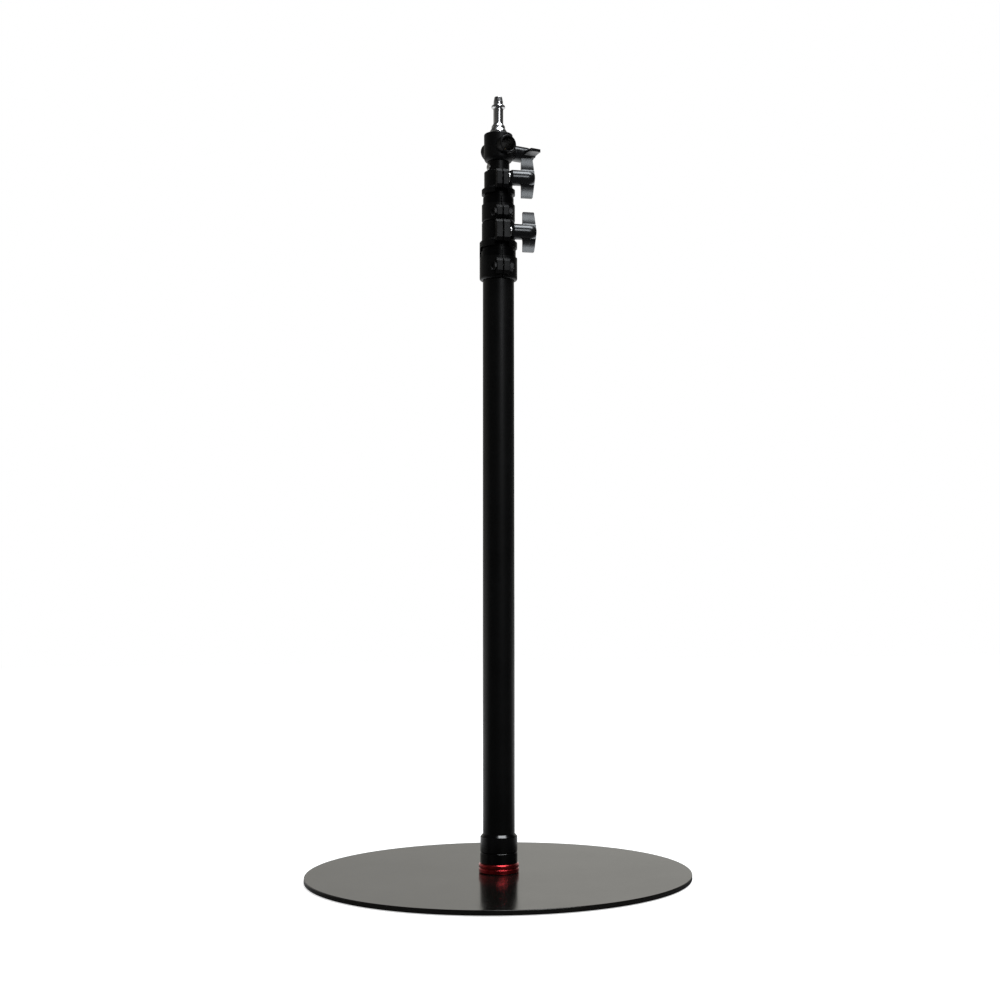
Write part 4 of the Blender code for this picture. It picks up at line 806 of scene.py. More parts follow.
@dataclass
class TubePiece:
    """One tube of the telescope, with its ends broken."""

    dresser: Dresser
    name: str
    node: str
    body: str
    radius: float
    wall: float
    edge: float = 0.0003

    def build(self) -> None:
        """Turns the tube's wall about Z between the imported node's own ends."""
        low, high = (corner.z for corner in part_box(self.node))
        inner, outer = self.radius - self.wall, self.radius
        points = [(inner, high), (outer, high), (outer, low), (inner, low)]
        mesh = lathe(self.name, filleted(points, [self.edge] * 4))
        self.dresser.piece(self.name, mesh, "tube_black", self.body, [self.node], crease=TURNED_CREASE)


@dataclass
class Handle:
    """Moulded handle with two scooped wings on a round hub, about its own X axis."""

    dresser: Dresser
    name: str
    node: str
    body: str
    origin: Place
    turn: float = 0.0
    tilt: float = 0.0
    hub_radius: float = 0.0090
    nose_radius: float = 0.0079
    nose_length: float = 0.0012
    length: float = 0.0276
    dome_length: float = 0.0088
    end_radius: float = 0.0060
    wing_start: float = 0.0122
    wing_width: float = 0.0133
    half_span: float = 0.0234
    tip_half_thickness: float = 0.0015
    scoop_radius: float = 0.0480
    thin_place: float = 0.0183
    root_radius: float = 0.0032
    bite: float = 0.00012
    nose_start: float = -0.0009
    bore_radius: float = 0.0053
    bore_depth: float = 0.0165
    inner_round: float = 0.0006
    outer_round: float = 0.0010

    def side_view(self) -> np.ndarray:
        """Wing seen from the side: flat towards the stand and an arc outwards, with rounded corners."""
        half, start = self.half_span, self.wing_start
        tip = start + self.wing_width
        bow = self.length - tip
        radius = (half * half + bow * bow) / (2 * bow)
        swing = math.asin(half / radius)
        bowed = arc_points((self.length - radius, 0.0), radius, -swing, swing, BOW_STEPS)
        points = np.concatenate([[(start, -half)], bowed, [(start, half)]])
        ends = [self.inner_round, self.outer_round]
        return filleted(points, ends + [0.0] * (len(bowed) - 2) + ends[::-1])

    def plan_view(self) -> np.ndarray:
        """Wing seen along its own length: a shallow scoop, and a root tangent to the scoop and the hub.

        The root's centre is where the circle hub + root about the axis meets the circle scoop - root about
        the scoop's centre, and the quarter made so is mirrored both ways.
        """
        hub, scoop, root = self.hub_radius - self.bite, self.scoop_radius, self.root_radius
        outer = np.array([self.thin_place, self.tip_half_thickness + scoop])
        far, near, reach = float(np.linalg.norm(outer)), hub + root, scoop - root
        along = (near * near - reach * reach + far * far) / (2 * far)
        aside = math.sqrt(near * near - along * along)
        unit = outer / far
        inner = along * unit + aside * np.array([unit[1], -unit[0]])
        join = math.atan2(inner[1] - outer[1], inner[0] - outer[0])
        start = math.asin((self.half_span + OVERLAP - self.thin_place) / scoop) - QUARTER
        touch = math.atan2(-inner[1], -inner[0])
        shallow = arc_points((outer[0], outer[1]), scoop, start, join, SCOOP_STEPS)
        tight = arc_points((inner[0], inner[1]), root, join, touch, ROOT_STEPS)
        curve = np.concatenate([shallow, tight[1:]])
        upper = np.concatenate([curve, curve[::-1] * (-1.0, 1.0)])
        return np.concatenate([upper, upper[::-1] * (1.0, -1.0)])

    def build(self) -> None:
        """Joins hub and wings, opens the bore and sets the handle in place.

        The hub's end is a dome: r = hub - (hub - end) s^2 at the height start + dome s, with s from 1 to 0.
        """
        start, hub, nose = self.length - self.dome_length, self.hub_radius, self.nose_start
        share = np.linspace(1.0, 0.0, SCOOP_STEPS + 1)
        dome = np.column_stack([hub - (hub - self.end_radius) * share**2, start + self.dome_length * share])
        shank = [
            (hub, self.wing_start - SUPPORT), (hub, self.nose_length), (self.nose_radius, nose), (0.0, nose),
        ]
        profile = np.concatenate([[(0.0, self.length)], dome, shank])
        solid = Carver(self.name, lathe("hub", profile, Axis.X, closed=False, steps=HUB_STEPS))
        side = prism("side", self.side_view(), -hub, hub, turn_of(((1, 0, 0), (0, 0, -1), (0, 1, 0))))
        along_x = turn_of(((0, 0, 1), (0, 1, 0), (-1, 0, 0)))
        plan = prism("plan", self.plan_view(), 0.0, self.length + OVERLAP, along_x)
        solid.join(Carver(self.name + "_wings", side).keep(plan).take())
        solid.cut(rod("bore", self.bore_radius, nose - OVERLAP, self.bore_depth, Axis.X))
        mesh = solid.take()
        place = Matrix.Rotation(self.turn, 4, "Z") @ Matrix.Translation(self.origin)
        mesh.transform(place @ Matrix.Rotation(self.tilt, 4, "X"))
        self.dresser.piece(self.name, mesh, "handle_black", self.body, [self.node], CAST_CREASE)


@dataclass(frozen=True)
class CollarSizes:
    """Sizes of one collar."""

    clamp_radius: float
    clamp_height: float
    step_radius: float
    step_height: float
    neck_radius: float
    neck_height: float
    skirt_radius: float
    skirt_height: float
    skirt_flare: float
    grip_radius: float
    grip_height: float
    spine_half_angle: float
    ear_front: float
    clamp_ear_half_width: float
    grip_ear_half_width: float
    clamp_ear_height: float
    clamp_ear_rise: float
    grip_ear_height: float
    grip_ear_drop: float
    grip_bolt_raise: float
    bolt_distance: float
    bush_wall: float


LOWER = CollarSizes(
    clamp_radius=0.0220, clamp_height=0.02635, step_radius=0.0204, step_height=0.00735,
    neck_radius=0.0190, neck_height=0.0036, skirt_radius=0.0220, skirt_height=0.00635,
    skirt_flare=0.0030, grip_radius=0.0194, grip_height=0.02085, spine_half_angle=math.radians(80.0),
    ear_front=0.0294, clamp_ear_half_width=0.0077, grip_ear_half_width=0.0081, clamp_ear_height=0.0183,
    clamp_ear_rise=0.0035, grip_ear_height=0.02505, grip_ear_drop=0.0008, grip_bolt_raise=-0.0013,
    bolt_distance=0.0242, bush_wall=0.0014,
)
UPPER = CollarSizes(
    clamp_radius=0.0194, clamp_height=0.02055, step_radius=0.0180, step_height=0.00855,
    neck_radius=0.0163, neck_height=0.0030, skirt_radius=0.01955, skirt_height=0.00575,
    skirt_flare=0.0024, grip_radius=0.01665, grip_height=0.01925, spine_half_angle=math.radians(44.0),
    ear_front=0.0270, clamp_ear_half_width=0.0071, grip_ear_half_width=0.0070, clamp_ear_height=0.0159,
    clamp_ear_rise=0.0005, grip_ear_height=0.02175, grip_ear_drop=0.0016, grip_bolt_raise=0.0015,
    bolt_distance=0.0216, bush_wall=0.0010,
)


@dataclass
class Collar:
    """Split collar: casting, stepped bush, clamp bolt and nut, grip bolt, washer and handle."""

    dresser: Dresser
    prefix: str
    sizes: CollarSizes
    held_radius: float
    slider_radius: float
    body: str
    slit: float = 0.0011
    slit_mouth: float = 0.0005
    edge: float = 0.0012
    skirt_rise: float = 0.0004
    skirt_upper_round: float = 0.0007
    skirt_lower_round: float = 0.0006
    fine_round: float = 0.0003
    bush_round: float = 0.0004
    washer_bore_round: float = 0.0002
    washer_round: float = 0.0005
    ear_chamfer_out: float = 0.0033
    ear_chamfer_up: float = 0.0036
    ear_fillet: float = 0.0016
    ear_round: float = 0.0007
    bolt_radius: float = 0.0030
    bolt_clearance: float = 0.0002
    bolt_hex: float = 0.010
    grip_hex: float = 0.0080
    bolt_head: float = 0.0038
    clamp_head: float = 0.0022
    clamp_hex: float = 0.0086
    nut_height: float = 0.0042
    bolt_tail: float = 0.0012
    spot_depth: float = 0.0002
    spot_radius: float = 0.0064
    cutter_reach: float = 0.0200
    cut_through: float = 0.1000
    washer_radius: float = 0.0061
    washer_thickness: float = 0.0016
    stack_gap: float = 0.0003
    insert_flange: float = 0.0009
    insert_flange_radius: float = 0.0051
    insert_radius: float = 0.0050
    insert_depth: float = 0.0162
    grip_engagement: float = 0.0135
    thread_pitch: float = 0.0010
    thread_depth: float = 0.00025
    thread_length: float = 0.0060
    thread_end: float = 0.0005
    thread_rows: int = 90
    tip_length: float = 0.0006
    head_inset: float = 0.0006
    head_rows: int = 7
    nut_inset: float = 0.0004
    nut_rows: int = 9
    marks: dict[str, float] = field(default_factory=dict)

    def __post_init__(self) -> None:
        """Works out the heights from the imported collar's lowest point."""
        s = self.sizes
        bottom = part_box(self.prefix + "_collar")[0].z
        clamp_top = bottom + s.clamp_height
        step_top = clamp_top + FIT + s.step_height
        neck_top = step_top + s.neck_height
        skirt_bottom = neck_top + FIT
        skirt_top = skirt_bottom + s.skirt_height
        grip_bottom = skirt_top + s.skirt_flare
        top = grip_bottom + s.grip_height
        ear_high = top - s.grip_ear_drop
        self.marks = {
            "bottom": bottom, "clamp_top": clamp_top, "step_top": step_top, "neck_top": neck_top,
            "skirt_bottom": skirt_bottom, "skirt_top": skirt_top, "grip_bottom": grip_bottom, "top": top,
            "shoulder": neck_top - s.neck_height / 8,
            "clamp_ear_low": bottom + s.clamp_ear_rise,
            "clamp_ear_high": bottom + s.clamp_ear_rise + s.clamp_ear_height,
            "grip_ear_low": ear_high - s.grip_ear_height, "grip_ear_high": ear_high,
        }
        self.marks["clamp_bolt"] = (self.marks["clamp_ear_low"] + self.marks["clamp_ear_high"]) / 2
        self.marks["grip_bolt"] = (self.marks["grip_ear_low"] + ear_high) / 2 + s.grip_bolt_raise

    @property
    def clamp_bore(self) -> float:
        """Radius of the bore round the held tube."""
        return self.held_radius + FIT

    @property
    def slider_bore(self) -> float:
        """Radius of the bore round the sliding tube."""
        return self.slider_radius + FIT

    def _add(
        self, label: str, mesh: bpy.types.Mesh, slot: str, node: str, crease: float, body: str = ""
    ) -> None:
        """Adds one of the collar's pieces.

        Args:
            label: the piece's name after the collar's prefix.
            mesh: its mesh, already in place.
            slot: the record's slot that it takes its finish from.
            node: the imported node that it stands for, after the prefix.
            crease: edges sharper than this many degrees stay crisp.
            body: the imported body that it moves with, where it isn't the collar's own.
        """
        name, node = f"{self.prefix}_{label}", f"{self.prefix}_{node}"
        self.dresser.piece(name, mesh, slot, body or self.body, [node], crease)

    def _sector(self, inner: float, outer: float, start: float, end: float) -> np.ndarray:
        """Outline between two radii and two angles."""
        axis = (0.0, 0.0)
        there = arc_points(axis, outer, start, end, BOLT_STEPS)
        return np.concatenate([there, arc_points(axis, inner, end, start, BOLT_STEPS)])

    def _ears(self, half: float, radius: float, low: float, high: float) -> bpy.types.Mesh:
        """A pair of ears: the common part of a plan with hollow roots and a side view with chamfers."""
        s, fillet = self.sizes, self.ear_fillet
        reach = half + fillet
        back = math.sqrt(radius * radius - reach * reach) - FIT
        inside = fillet - back
        left = arc_points((-reach, -back - fillet), fillet, QUARTER, 0.0, SCOOP_STEPS)
        right = arc_points((reach, -back - fillet), fillet, math.pi, QUARTER, SCOOP_STEPS)
        corners = [left[-1], (-half, -s.ear_front), (half, -s.ear_front), right[0]]
        front = filleted(corners, [0.0, self.ear_round, self.ear_round, 0.0], closed=False)
        outline = np.concatenate([[(-reach, inside)], left[:-1], front, right[1:], [(reach, inside)]])
        plan = prism("plan", outline, low, high)
        out, up = self.ear_chamfer_out, self.ear_chamfer_up
        far, near = s.ear_front, s.ear_front - out
        points = [(low, 0.0), (high, 0.0), (high, near), (high - up, far), (low + up, far), (low, near)]
        side_outline = filleted(points, [0.0, 0.0] + [self.fine_round] * 4)
        width = reach + OVERLAP
        side = prism("side", side_outline, -width, width, turn_of(((0, 0, -1), (0, -1, 0), (1, 0, 0))))
        return Carver("ears", plan).keep(side).take()

    def _slit_cutter(self, low: float, high: float) -> bpy.types.Mesh:
        """Cutter for the slit, with a mouth that breaks the ears' inner front edges."""
        half, mouth, front = self.slit / 2, self.slit_mouth, self.sizes.ear_front
        reach = front + mouth
        wide = half + 2 * mouth
        right = np.array([(half, 0.0), (half, mouth - front), (wide, -reach)])
        outline = np.concatenate([right, right[::-1] * (-1.0, 1.0)])
        return prism("slit", outline, low, high)

    def casting(self) -> None:
        """The cast collar: turned outside, window, skirt gap, ears, bores, slit and bolt holes."""
        s, m, edge = self.sizes, self.marks, self.edge
        skirt, grip, clamp = s.skirt_radius, s.grip_radius, s.clamp_radius
        rim, foot = m["skirt_top"] + self.skirt_rise, m["skirt_bottom"]
        points = [
            (0.0, m["top"]), (grip, m["top"]), (grip, m["grip_bottom"]), (skirt, rim),
            (skirt, foot), (clamp, foot - edge), (clamp, m["bottom"]), (0.0, m["bottom"]),
        ]
        radii = [0.0, edge, s.skirt_flare, self.skirt_upper_round, self.skirt_lower_round, 0.0, edge * 2, 0.0]
        profile = filleted(points, radii, closed=False)
        solid = Carver(self.prefix, lathe("outside", profile, closed=False, steps=CASTING_STEPS))
        start = QUARTER + s.spine_half_angle
        end = QUARTER - s.spine_half_angle + math.tau
        grip_bore = self.slider_bore + s.bush_wall + FIT
        window = self._sector(grip_bore - OVERLAP, skirt + edge, start, end)
        solid.cut(prism("window", window, m["clamp_top"], foot))
        gap = s.grip_ear_half_width + OVERLAP
        low, high = foot - OVERLAP, m["skirt_top"] + OVERLAP
        solid.cut(block("gap", (-gap, -skirt - edge, low), (gap, 0.0, high)))
        solid.join(self._ears(s.clamp_ear_half_width, clamp, m["clamp_ear_low"], m["clamp_ear_high"]))
        solid.join(self._ears(s.grip_ear_half_width, grip, m["grip_ear_low"], m["grip_ear_high"]))
        low, step, high = m["bottom"] - OVERLAP, foot - FIT / 2, m["top"] + OVERLAP
        wide, tight = grip_bore, self.clamp_bore
        bore = np.array([(0.0, high), (wide, high), (wide, step), (tight, step), (tight, low), (0.0, low)])
        solid.cut(lathe("bore", bore, closed=False, steps=CASTING_STEPS))
        solid.cut(self._slit_cutter(low, high))
        self._drill(solid)
        self._add("casting", solid.take(), "casting_black", "collar", CAST_CREASE)

    def _rod(self, radius: float, low: float, high: float, height: float) -> bpy.types.Mesh:
        """Round cutter along X at the bolts' distance."""
        return rod("rod", radius, low, high, Axis.X, (0.0, -self.sizes.bolt_distance, height), ROD_STEPS)

    def _drill(self, solid: Carver) -> None:
        """Bolt holes, spot faces and the pocket of the grip bolt's head."""
        s, m = self.sizes, self.marks
        hole = self.bolt_radius + self.bolt_clearance
        clamp, grip = (s.clamp_ear_half_width, m["clamp_bolt"]), (s.grip_ear_half_width, m["grip_bolt"])
        for half, height in (clamp, grip):
            solid.cut(self._rod(hole, -half - OVERLAP, half + OVERLAP, height))
        for (half, height), side in ((clamp, -1.0), (clamp, 1.0), (grip, 1.0)):
            ends = sorted((side * (half - self.spot_depth), side * (half + self.cutter_reach)))
            solid.cut(self._rod(self.spot_radius, ends[0], ends[1], height))
        start = -s.grip_ear_half_width
        corner = hex_corner(self.grip_hex + 2 * FIT)
        centre = (-s.bolt_distance, m["grip_bolt"])
        ring = arc_points(centre, corner, HALF_SIXTH, math.tau - HALF_SIXTH, 5)
        turn = turn_of(((0, 0, 1), (1, 0, 0), (0, 1, 0)))
        solid.cut(prism("pocket", ring, start - self.cutter_reach, start + self.bolt_head + FIT, turn))

    def bush(self) -> None:
        """Stepped bush: turned, then notched for the spine and slit at the front."""
        s, m, edge = self.sizes, self.marks, self.edge
        liner = self.slider_bore + s.bush_wall
        low = m["clamp_top"] + FIT
        high, neck, step, shoulder = m["top"] - FIT, m["neck_top"], m["step_top"], m["shoulder"]
        clamp, slider = self.clamp_bore, self.slider_bore
        points = [
            (liner, high), (liner, neck), (s.neck_radius, neck), (s.neck_radius, step), (s.step_radius, step),
            (s.step_radius, low), (clamp, low), (clamp, shoulder), (slider, shoulder), (slider, high),
        ]
        fine, broad = self.fine_round, self.bush_round
        radii = [fine, 0.0, broad, fine, edge / 2, broad, 0.0, 0.0, 0.0, 0.0]
        solid = Carver(self.prefix + "_bush", lathe("bush", filleted(points, radii), steps=CASTING_STEPS))
        margin = FIT / s.step_radius * 2
        half_notch = s.spine_half_angle + margin
        notch = self._sector(clamp - FIT, s.skirt_radius + edge, QUARTER - half_notch, QUARTER + half_notch)
        solid.cut(prism("notch", notch, low - OVERLAP, neck + OVERLAP))
        half = self.slit / 2
        solid.cut(block("slit", (-half, -self.cut_through, low - OVERLAP), (half, 0.0, m["top"] + OVERLAP)))
        self._add("stepped_bush", solid.take(), "bush_black", "bush", SMALL_CREASE)

    def _threaded(self, radius: np.ndarray, height: np.ndarray, turn: np.ndarray, end: float) -> np.ndarray:
        """Adds a thread up to an end: r' = r - depth |2 frac(h / pitch - t / 2 pi) - 1|."""
        phase = np.mod(height / self.thread_pitch - turn / math.tau, 1.0)
        ridge = self.thread_depth * np.abs(2.0 * phase - 1.0)
        shank = np.abs(radius - self.bolt_radius) < TOUCH
        cut = shank & (height > end - self.thread_length) & (height < end - self.thread_end)
        return np.where(cut, radius - ridge, radius)

    def _bolt(self, which: str, start: float, tail: float, height: float, width: float, head: float) -> None:
        """Hexagon bolt along X: chamfered head, plain shank and a rolled thread near its end.

        Args:
            which: the ears that it goes through, clamp or grip.
            start: where the head starts.
            tail: where the shank ends.
            height: height of its axis.
            width: width across the head's flats.
            head: thickness of the head.
        """
        shank, tip, corner = self.bolt_radius, self.tip_length, hex_corner(width)
        thread = tail - self.thread_length
        profile = np.concatenate([
            [(0.0, start), (width / 2 - self.head_inset, start)],
            straight(corner, start, start + head, self.head_rows),
            [(shank, start + head), (shank, thread - SLIP)],
            straight(shank, thread, tail - tip, self.thread_rows),
            [(shank - tip, tail), (0.0, tail)],
        ])
        flats = hexagon_rule(width, start, start + head)

        def rule(radius: np.ndarray, along: np.ndarray, turn: np.ndarray) -> np.ndarray:
            """Hexagon at the head and thread at the tail."""
            return self._threaded(flats(radius, along, turn), along, turn, tail)

        centre = (0.0, -self.sizes.bolt_distance, height)
        mesh = lathe(which, profile, Axis.X, centre, BOLT_STEPS, False, rule)
        self._add(which + "_hex_bolt", mesh, "black_steel", which + "_bolt", HEX_CREASE)

    def fasteners(self) -> None:
        """Clamp bolt and nut, and the grip bolt held in its pocket."""
        s, m = self.sizes, self.marks
        ear = s.clamp_ear_half_width - self.spot_depth + self.stack_gap
        end = ear + self.nut_height
        height, head = m["clamp_bolt"], self.clamp_head
        self._bolt("clamp", -ear - head, end + self.bolt_tail, height, self.clamp_hex, head)
        hole, corner = self.bolt_radius + self.bolt_clearance, hex_corner(self.bolt_hex)
        rim = self.bolt_hex / 2 - self.nut_inset
        outside = straight(corner, ear, end, self.nut_rows)
        profile = np.concatenate([[(hole, ear), (rim, ear)], outside, [(rim, end), (hole, end)]])
        rule = hexagon_rule(self.bolt_hex, ear, end)
        mesh = lathe("nut", profile, Axis.X, (0.0, -s.bolt_distance, height), BOLT_STEPS, True, rule)
        self._add("hex_nut", mesh, "black_steel", "clamp_nut", HEX_CREASE)
        tail = self.handle_x + self.grip_engagement
        self._bolt("grip", -s.grip_ear_half_width, tail, m["grip_bolt"], self.grip_hex, self.bolt_head)

    @property
    def washer_x(self) -> float:
        """Where the washer starts along X."""
        return self.sizes.grip_ear_half_width - self.spot_depth + self.stack_gap

    @property
    def handle_x(self) -> float:
        """Where the handle's hub starts along X."""
        return self.washer_x + self.washer_thickness + self.stack_gap + self.insert_flange + FIT

    def grip(self) -> None:
        """Washer, threaded insert and handle."""
        s, m = self.sizes, self.marks
        centre = (0.0, -s.bolt_distance, m["grip_bolt"])
        hole, start = self.bolt_radius + self.bolt_clearance, self.washer_x
        end = start + self.washer_thickness
        points = [(hole, start), (self.washer_radius, start), (self.washer_radius, end), (hole, end)]
        inner, outer = self.washer_bore_round, self.washer_round
        outline = filleted(points, [inner, outer, outer, inner])
        mesh = lathe("washer", outline, Axis.X, centre, SMALL_LATHE_STEPS)
        self._add("bright_washer", mesh, "zinc", "washer", SMALL_CREASE, self.prefix + "_washer_body")
        bore, face, flange = self.bolt_radius + FIT, self.handle_x - FIT, self.insert_flange_radius
        deep = self.handle_x + self.insert_depth
        points = [
            (bore, face - self.insert_flange), (flange, face - self.insert_flange), (flange, face),
            (self.insert_radius, face), (self.insert_radius, deep), (bore, deep),
        ]
        radii = [0.0, self.fine_round, self.fine_round, 0.0, 0.0, 0.0]
        mesh = lathe("insert", filleted(points, radii), Axis.X, centre, SMALL_LATHE_STEPS)
        body, node = self.prefix + "_handle_body", self.prefix + "_handle"
        self._add("threaded_insert", mesh, "zinc", "handle_insert", SMALL_CREASE, body)
        origin = (self.handle_x, centre[1], centre[2])
        Handle(self.dresser, self.prefix + "_wing_handle", node, body, origin).build()

    def build(self) -> None:
        """Makes the whole collar."""
        self.casting()
        self.bush()
        self.fasteners()
        self.grip()


# The spigot's corners from its tip down: radius, height over its foot, rounding
SPIGOT = (
    (0.0, 0.04465, 0.0), (0.0045, 0.04465, 0.0007), (0.0056, 0.0384, 0.0003),
    (0.0056, 0.0344, 0.0004), (0.0080, 0.0344, 0.0012), (0.0080, 0.03135, 0.0012),
    (0.00583, 0.03055, 0.0006), (0.00583, 0.0123, 0.0010), (0.0080, 0.0090, 0.0005),
    (0.0080, 0.0066, 0.0005), (0.0101, 0.0032, 0.0006), (0.0101, 0.0, 0.0004),
    (0.0050, 0.0, 0.0), (0.0050, -0.0057, 0.0004), (0.0, -0.0057, 0.0),
)


@dataclass
class Head:
    """Socket head with its screw handle, fixing screw and stepped spigot."""

    dresser: Dresser
    body: str = "inner_section"
    turn: float = math.radians(18.8)
    handle_tilt: float = math.radians(88.5)
    radius: float = 0.0168
    height: float = 0.03315
    foot_radius: float = 0.0134
    taper_height: float = 0.0057
    top_round: float = 0.0015
    spud_radius: float = 0.0115
    spud_length: float = 0.0260
    socket_height: float = 0.0170
    socket_bore: float = 0.00825
    socket_radius: float = 0.0107
    socket_half_length: float = 0.0235
    socket_round: float = 0.0010
    socket_mouth: float = 0.0008
    screw_height: float = 0.0144
    screw_radius: float = 0.0040
    boss_radius: float = 0.0094
    boss_reach: float = 0.0183
    tail_radius: float = 0.0050
    tail_length: float = 0.0057
    fixing_drop: float = 0.0071
    fixing_radius: float = 0.0020
    fixing_head_radius: float = 0.0038
    fixing_head_height: float = 0.0011
    fixing_length: float = 0.0065
    boss_round: float = 0.0006
    recess_mouth: float = 0.00125
    recess_foot: float = 0.00115
    recess_edge: float = 0.0013
    recess_lip: float = 0.0014
    recess_dip: float = 0.00002
    recess_share: float = 0.35
    inner_tube_radius: float = INNER_RADIUS

    @property
    def bottom(self) -> float:
        """Height of the head's lower face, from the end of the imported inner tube."""
        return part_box("inner_tube")[1].z + FIT

    @property
    def top(self) -> float:
        """Height of the head's upper face."""
        return self.bottom + self.height

    def _set(self, mesh: bpy.types.Mesh) -> bpy.types.Mesh:
        """Turns a mesh from the head's own frame into the stand's."""
        mesh.transform(Matrix.Rotation(self.turn, 4, "Z"))
        return mesh

    def casting(self) -> None:
        """Turned body with an elliptical foot, the cross socket, the screw boss and their bores."""
        low, high, radius = self.bottom, self.top, self.radius
        waist = low + self.taper_height
        angle = np.linspace(0.0, QUARTER, FOOT_STEPS + 1)
        foot = np.column_stack([
            self.foot_radius + (radius - self.foot_radius) * np.cos(angle),
            waist - self.taper_height * np.sin(angle),
        ])
        shoulder = filleted([(0.0, high), (radius, high), (radius, waist)], [0.0, self.top_round, 0.0], False)
        spud, end = self.spud_radius, low - self.spud_length
        profile = np.concatenate([shoulder[:-1], foot, [(spud, low), (spud, end), (0.0, end)]])
        solid = Carver("head", lathe("body", profile, closed=False, steps=CASTING_STEPS))
        half, rim, bore = self.socket_half_length, self.socket_radius, self.socket_bore
        centre = (0.0, 0.0, low + self.socket_height)
        rounds = [0.0, self.socket_round, self.socket_round, 0.0]
        tube = filleted([(0.0, half), (rim, half), (rim, -half), (0.0, -half)], rounds, False)
        solid.join(lathe("socket", tube, Axis.Y, centre, HUB_STEPS, False))
        screw, rim, reach = (0.0, 0.0, low + self.screw_height), self.boss_radius, self.boss_reach
        corners = [(0.0, 0.0), (rim, 0.0), (rim, reach), (0.0, reach)]
        boss = filleted(corners, [0.0, 0.0, self.boss_round, 0.0], False)
        solid.join(lathe("boss", boss, Axis.X, screw, HUB_STEPS, False))
        mouth, throat, end = bore + self.socket_mouth + OVERLAP, half - self.socket_mouth, half + OVERLAP
        outline = np.array([(0.0, end), (mouth, end), (bore, throat)])
        through = np.concatenate([outline, outline[::-1] * (1.0, -1.0)])
        solid.cut(lathe("through", through, Axis.Y, centre, HUB_STEPS, False))
        solid.cut(rod("screw_hole", self.screw_radius + FIT, 0.0, reach + OVERLAP, Axis.X, screw))
        solid.cut(rod("pocket", self.tail_radius + FIT, high - self.tail_length, high + OVERLAP))
        hole, start = self.fixing_radius + SLIP, -self.inner_tube_radius - FIT
        pin = (0.0, 0.0, low - self.fixing_drop)
        solid.cut(rod("pin_hole", hole, start - OVERLAP, start + self.fixing_length, Axis.X, pin, ROD_STEPS))
        mesh = self._set(solid.take())
        self.dresser.piece("head_casting", mesh, "casting_black", self.body, ["head_body"], CAST_CREASE)

    def fixing_screw(self) -> None:
        """Domed screw along X, with a recess of six sides in its dome."""
        seat = -self.inner_tube_radius - FIT
        rim, rise, shank = self.fixing_head_radius, self.fixing_head_height, self.fixing_radius
        end, floor = seat + self.fixing_length, seat - rise * self.recess_share
        angle = np.linspace(0.0, QUARTER, FIXING_STEPS + 1)
        dome = np.column_stack([rim * np.cos(angle), seat - rise / 3 - rise * 2 / 3 * np.sin(angle)])
        profile = np.concatenate([
            [(0.0, end), (shank, end), (shank, seat), (rim, seat)],
            dome[dome[:, 0] > self.recess_lip],
            [(self.recess_mouth, dome[-1, 1] + self.recess_dip), (self.recess_foot, floor), (0.0, floor)],
        ])

        def rule(radius: np.ndarray, along: np.ndarray, turn: np.ndarray) -> np.ndarray:
            """Makes the recess a hexagon: r = flat / cos(t mod 60 - 30)."""
            inside = (radius > TOUCH) & (radius < self.recess_edge)
            within = (np.mod(turn, SIXTH) - HALF_SIXTH) * np.ones_like(radius)
            return np.where(inside, radius / np.cos(within) * math.cos(HALF_SIXTH / 2), radius)

        centre = (0.0, 0.0, self.bottom - self.fixing_drop)
        mesh = self._set(lathe("fixing", profile, Axis.X, centre, BOLT_STEPS, False, rule))
        self.dresser.piece("domed_fixing_screw", mesh, "zinc", self.body, ["head_fixing_screw"], HEX_CREASE)

    def handle(self) -> None:
        """The handle that clamps a pin in the socket."""
        origin = (self.boss_reach + FIT, 0.0, self.bottom + self.screw_height)
        name, node, body = "head_wing_handle", "head_handle", "head_handle_body"
        Handle(self.dresser, name, node, body, origin, self.turn, self.handle_tilt).build()

    def spigot(self) -> None:
        """Plated spigot: two-step foot, waist, rounded flange and tapered stud, all turned about Z."""
        rows = np.array(SPIGOT)
        profile = filleted(rows[:, :2], rows[:, 2], closed=False) + (0.0, self.top + FIT)
        mesh = lathe("spigot", profile, closed=False)
        self.dresser.piece("stepped_spigot", mesh, "chrome", self.body, ["spigot"], HEX_CREASE)

    def build(self) -> None:
        """Makes the whole head."""
        self.casting()
        self.fixing_screw()
        self.handle()
        self.spigot()


# Studio


@dataclass(frozen=True)
class Lamp:
    """A soft box: its place and target, its size in metres and its power in watts."""

    name: str
    place: Place
    target: Place
    width: float
    height: float
    power: float


LAMPS = (
    Lamp("overhead_box", (0.46, -0.46, 2.32), (0.46, -0.10, 0.50), 1.30, 0.95, 39.0),
    Lamp("front_box", (0.47, -1.96, 1.37), (0.0, 0.0, 0.80), 0.42, 0.64, 6.6),
)
LAMP_COLOUR = (0.94, 0.97, 1.0)
WHITE = (1.0, 1.0, 1.0, 1.0)

# Grey that the stand mirrors, by degrees round it from where the camera stands
WALLS = (
    (-180.0, 0.66), (-158.0, 0.54), (-118.0, 0.28), (-86.0, 0.22), (-70.0, 0.05), (-56.0, 0.06),
    (-43.0, 0.13), (-28.0, 0.03), (-8.0, 0.02), (10.0, 0.03), (26.0, 0.12), (44.0, 0.10),
    (66.0, 0.03), (95.0, 0.02), (128.0, 0.03), (150.0, 0.50), (168.0, 0.76),
)
# Share of that grey, by the upward part of the ray's direction
RISE = ((0.0, 0.70), (0.16, 0.72), (0.20, 1.00), (0.30, 0.90), (0.62, 0.12))


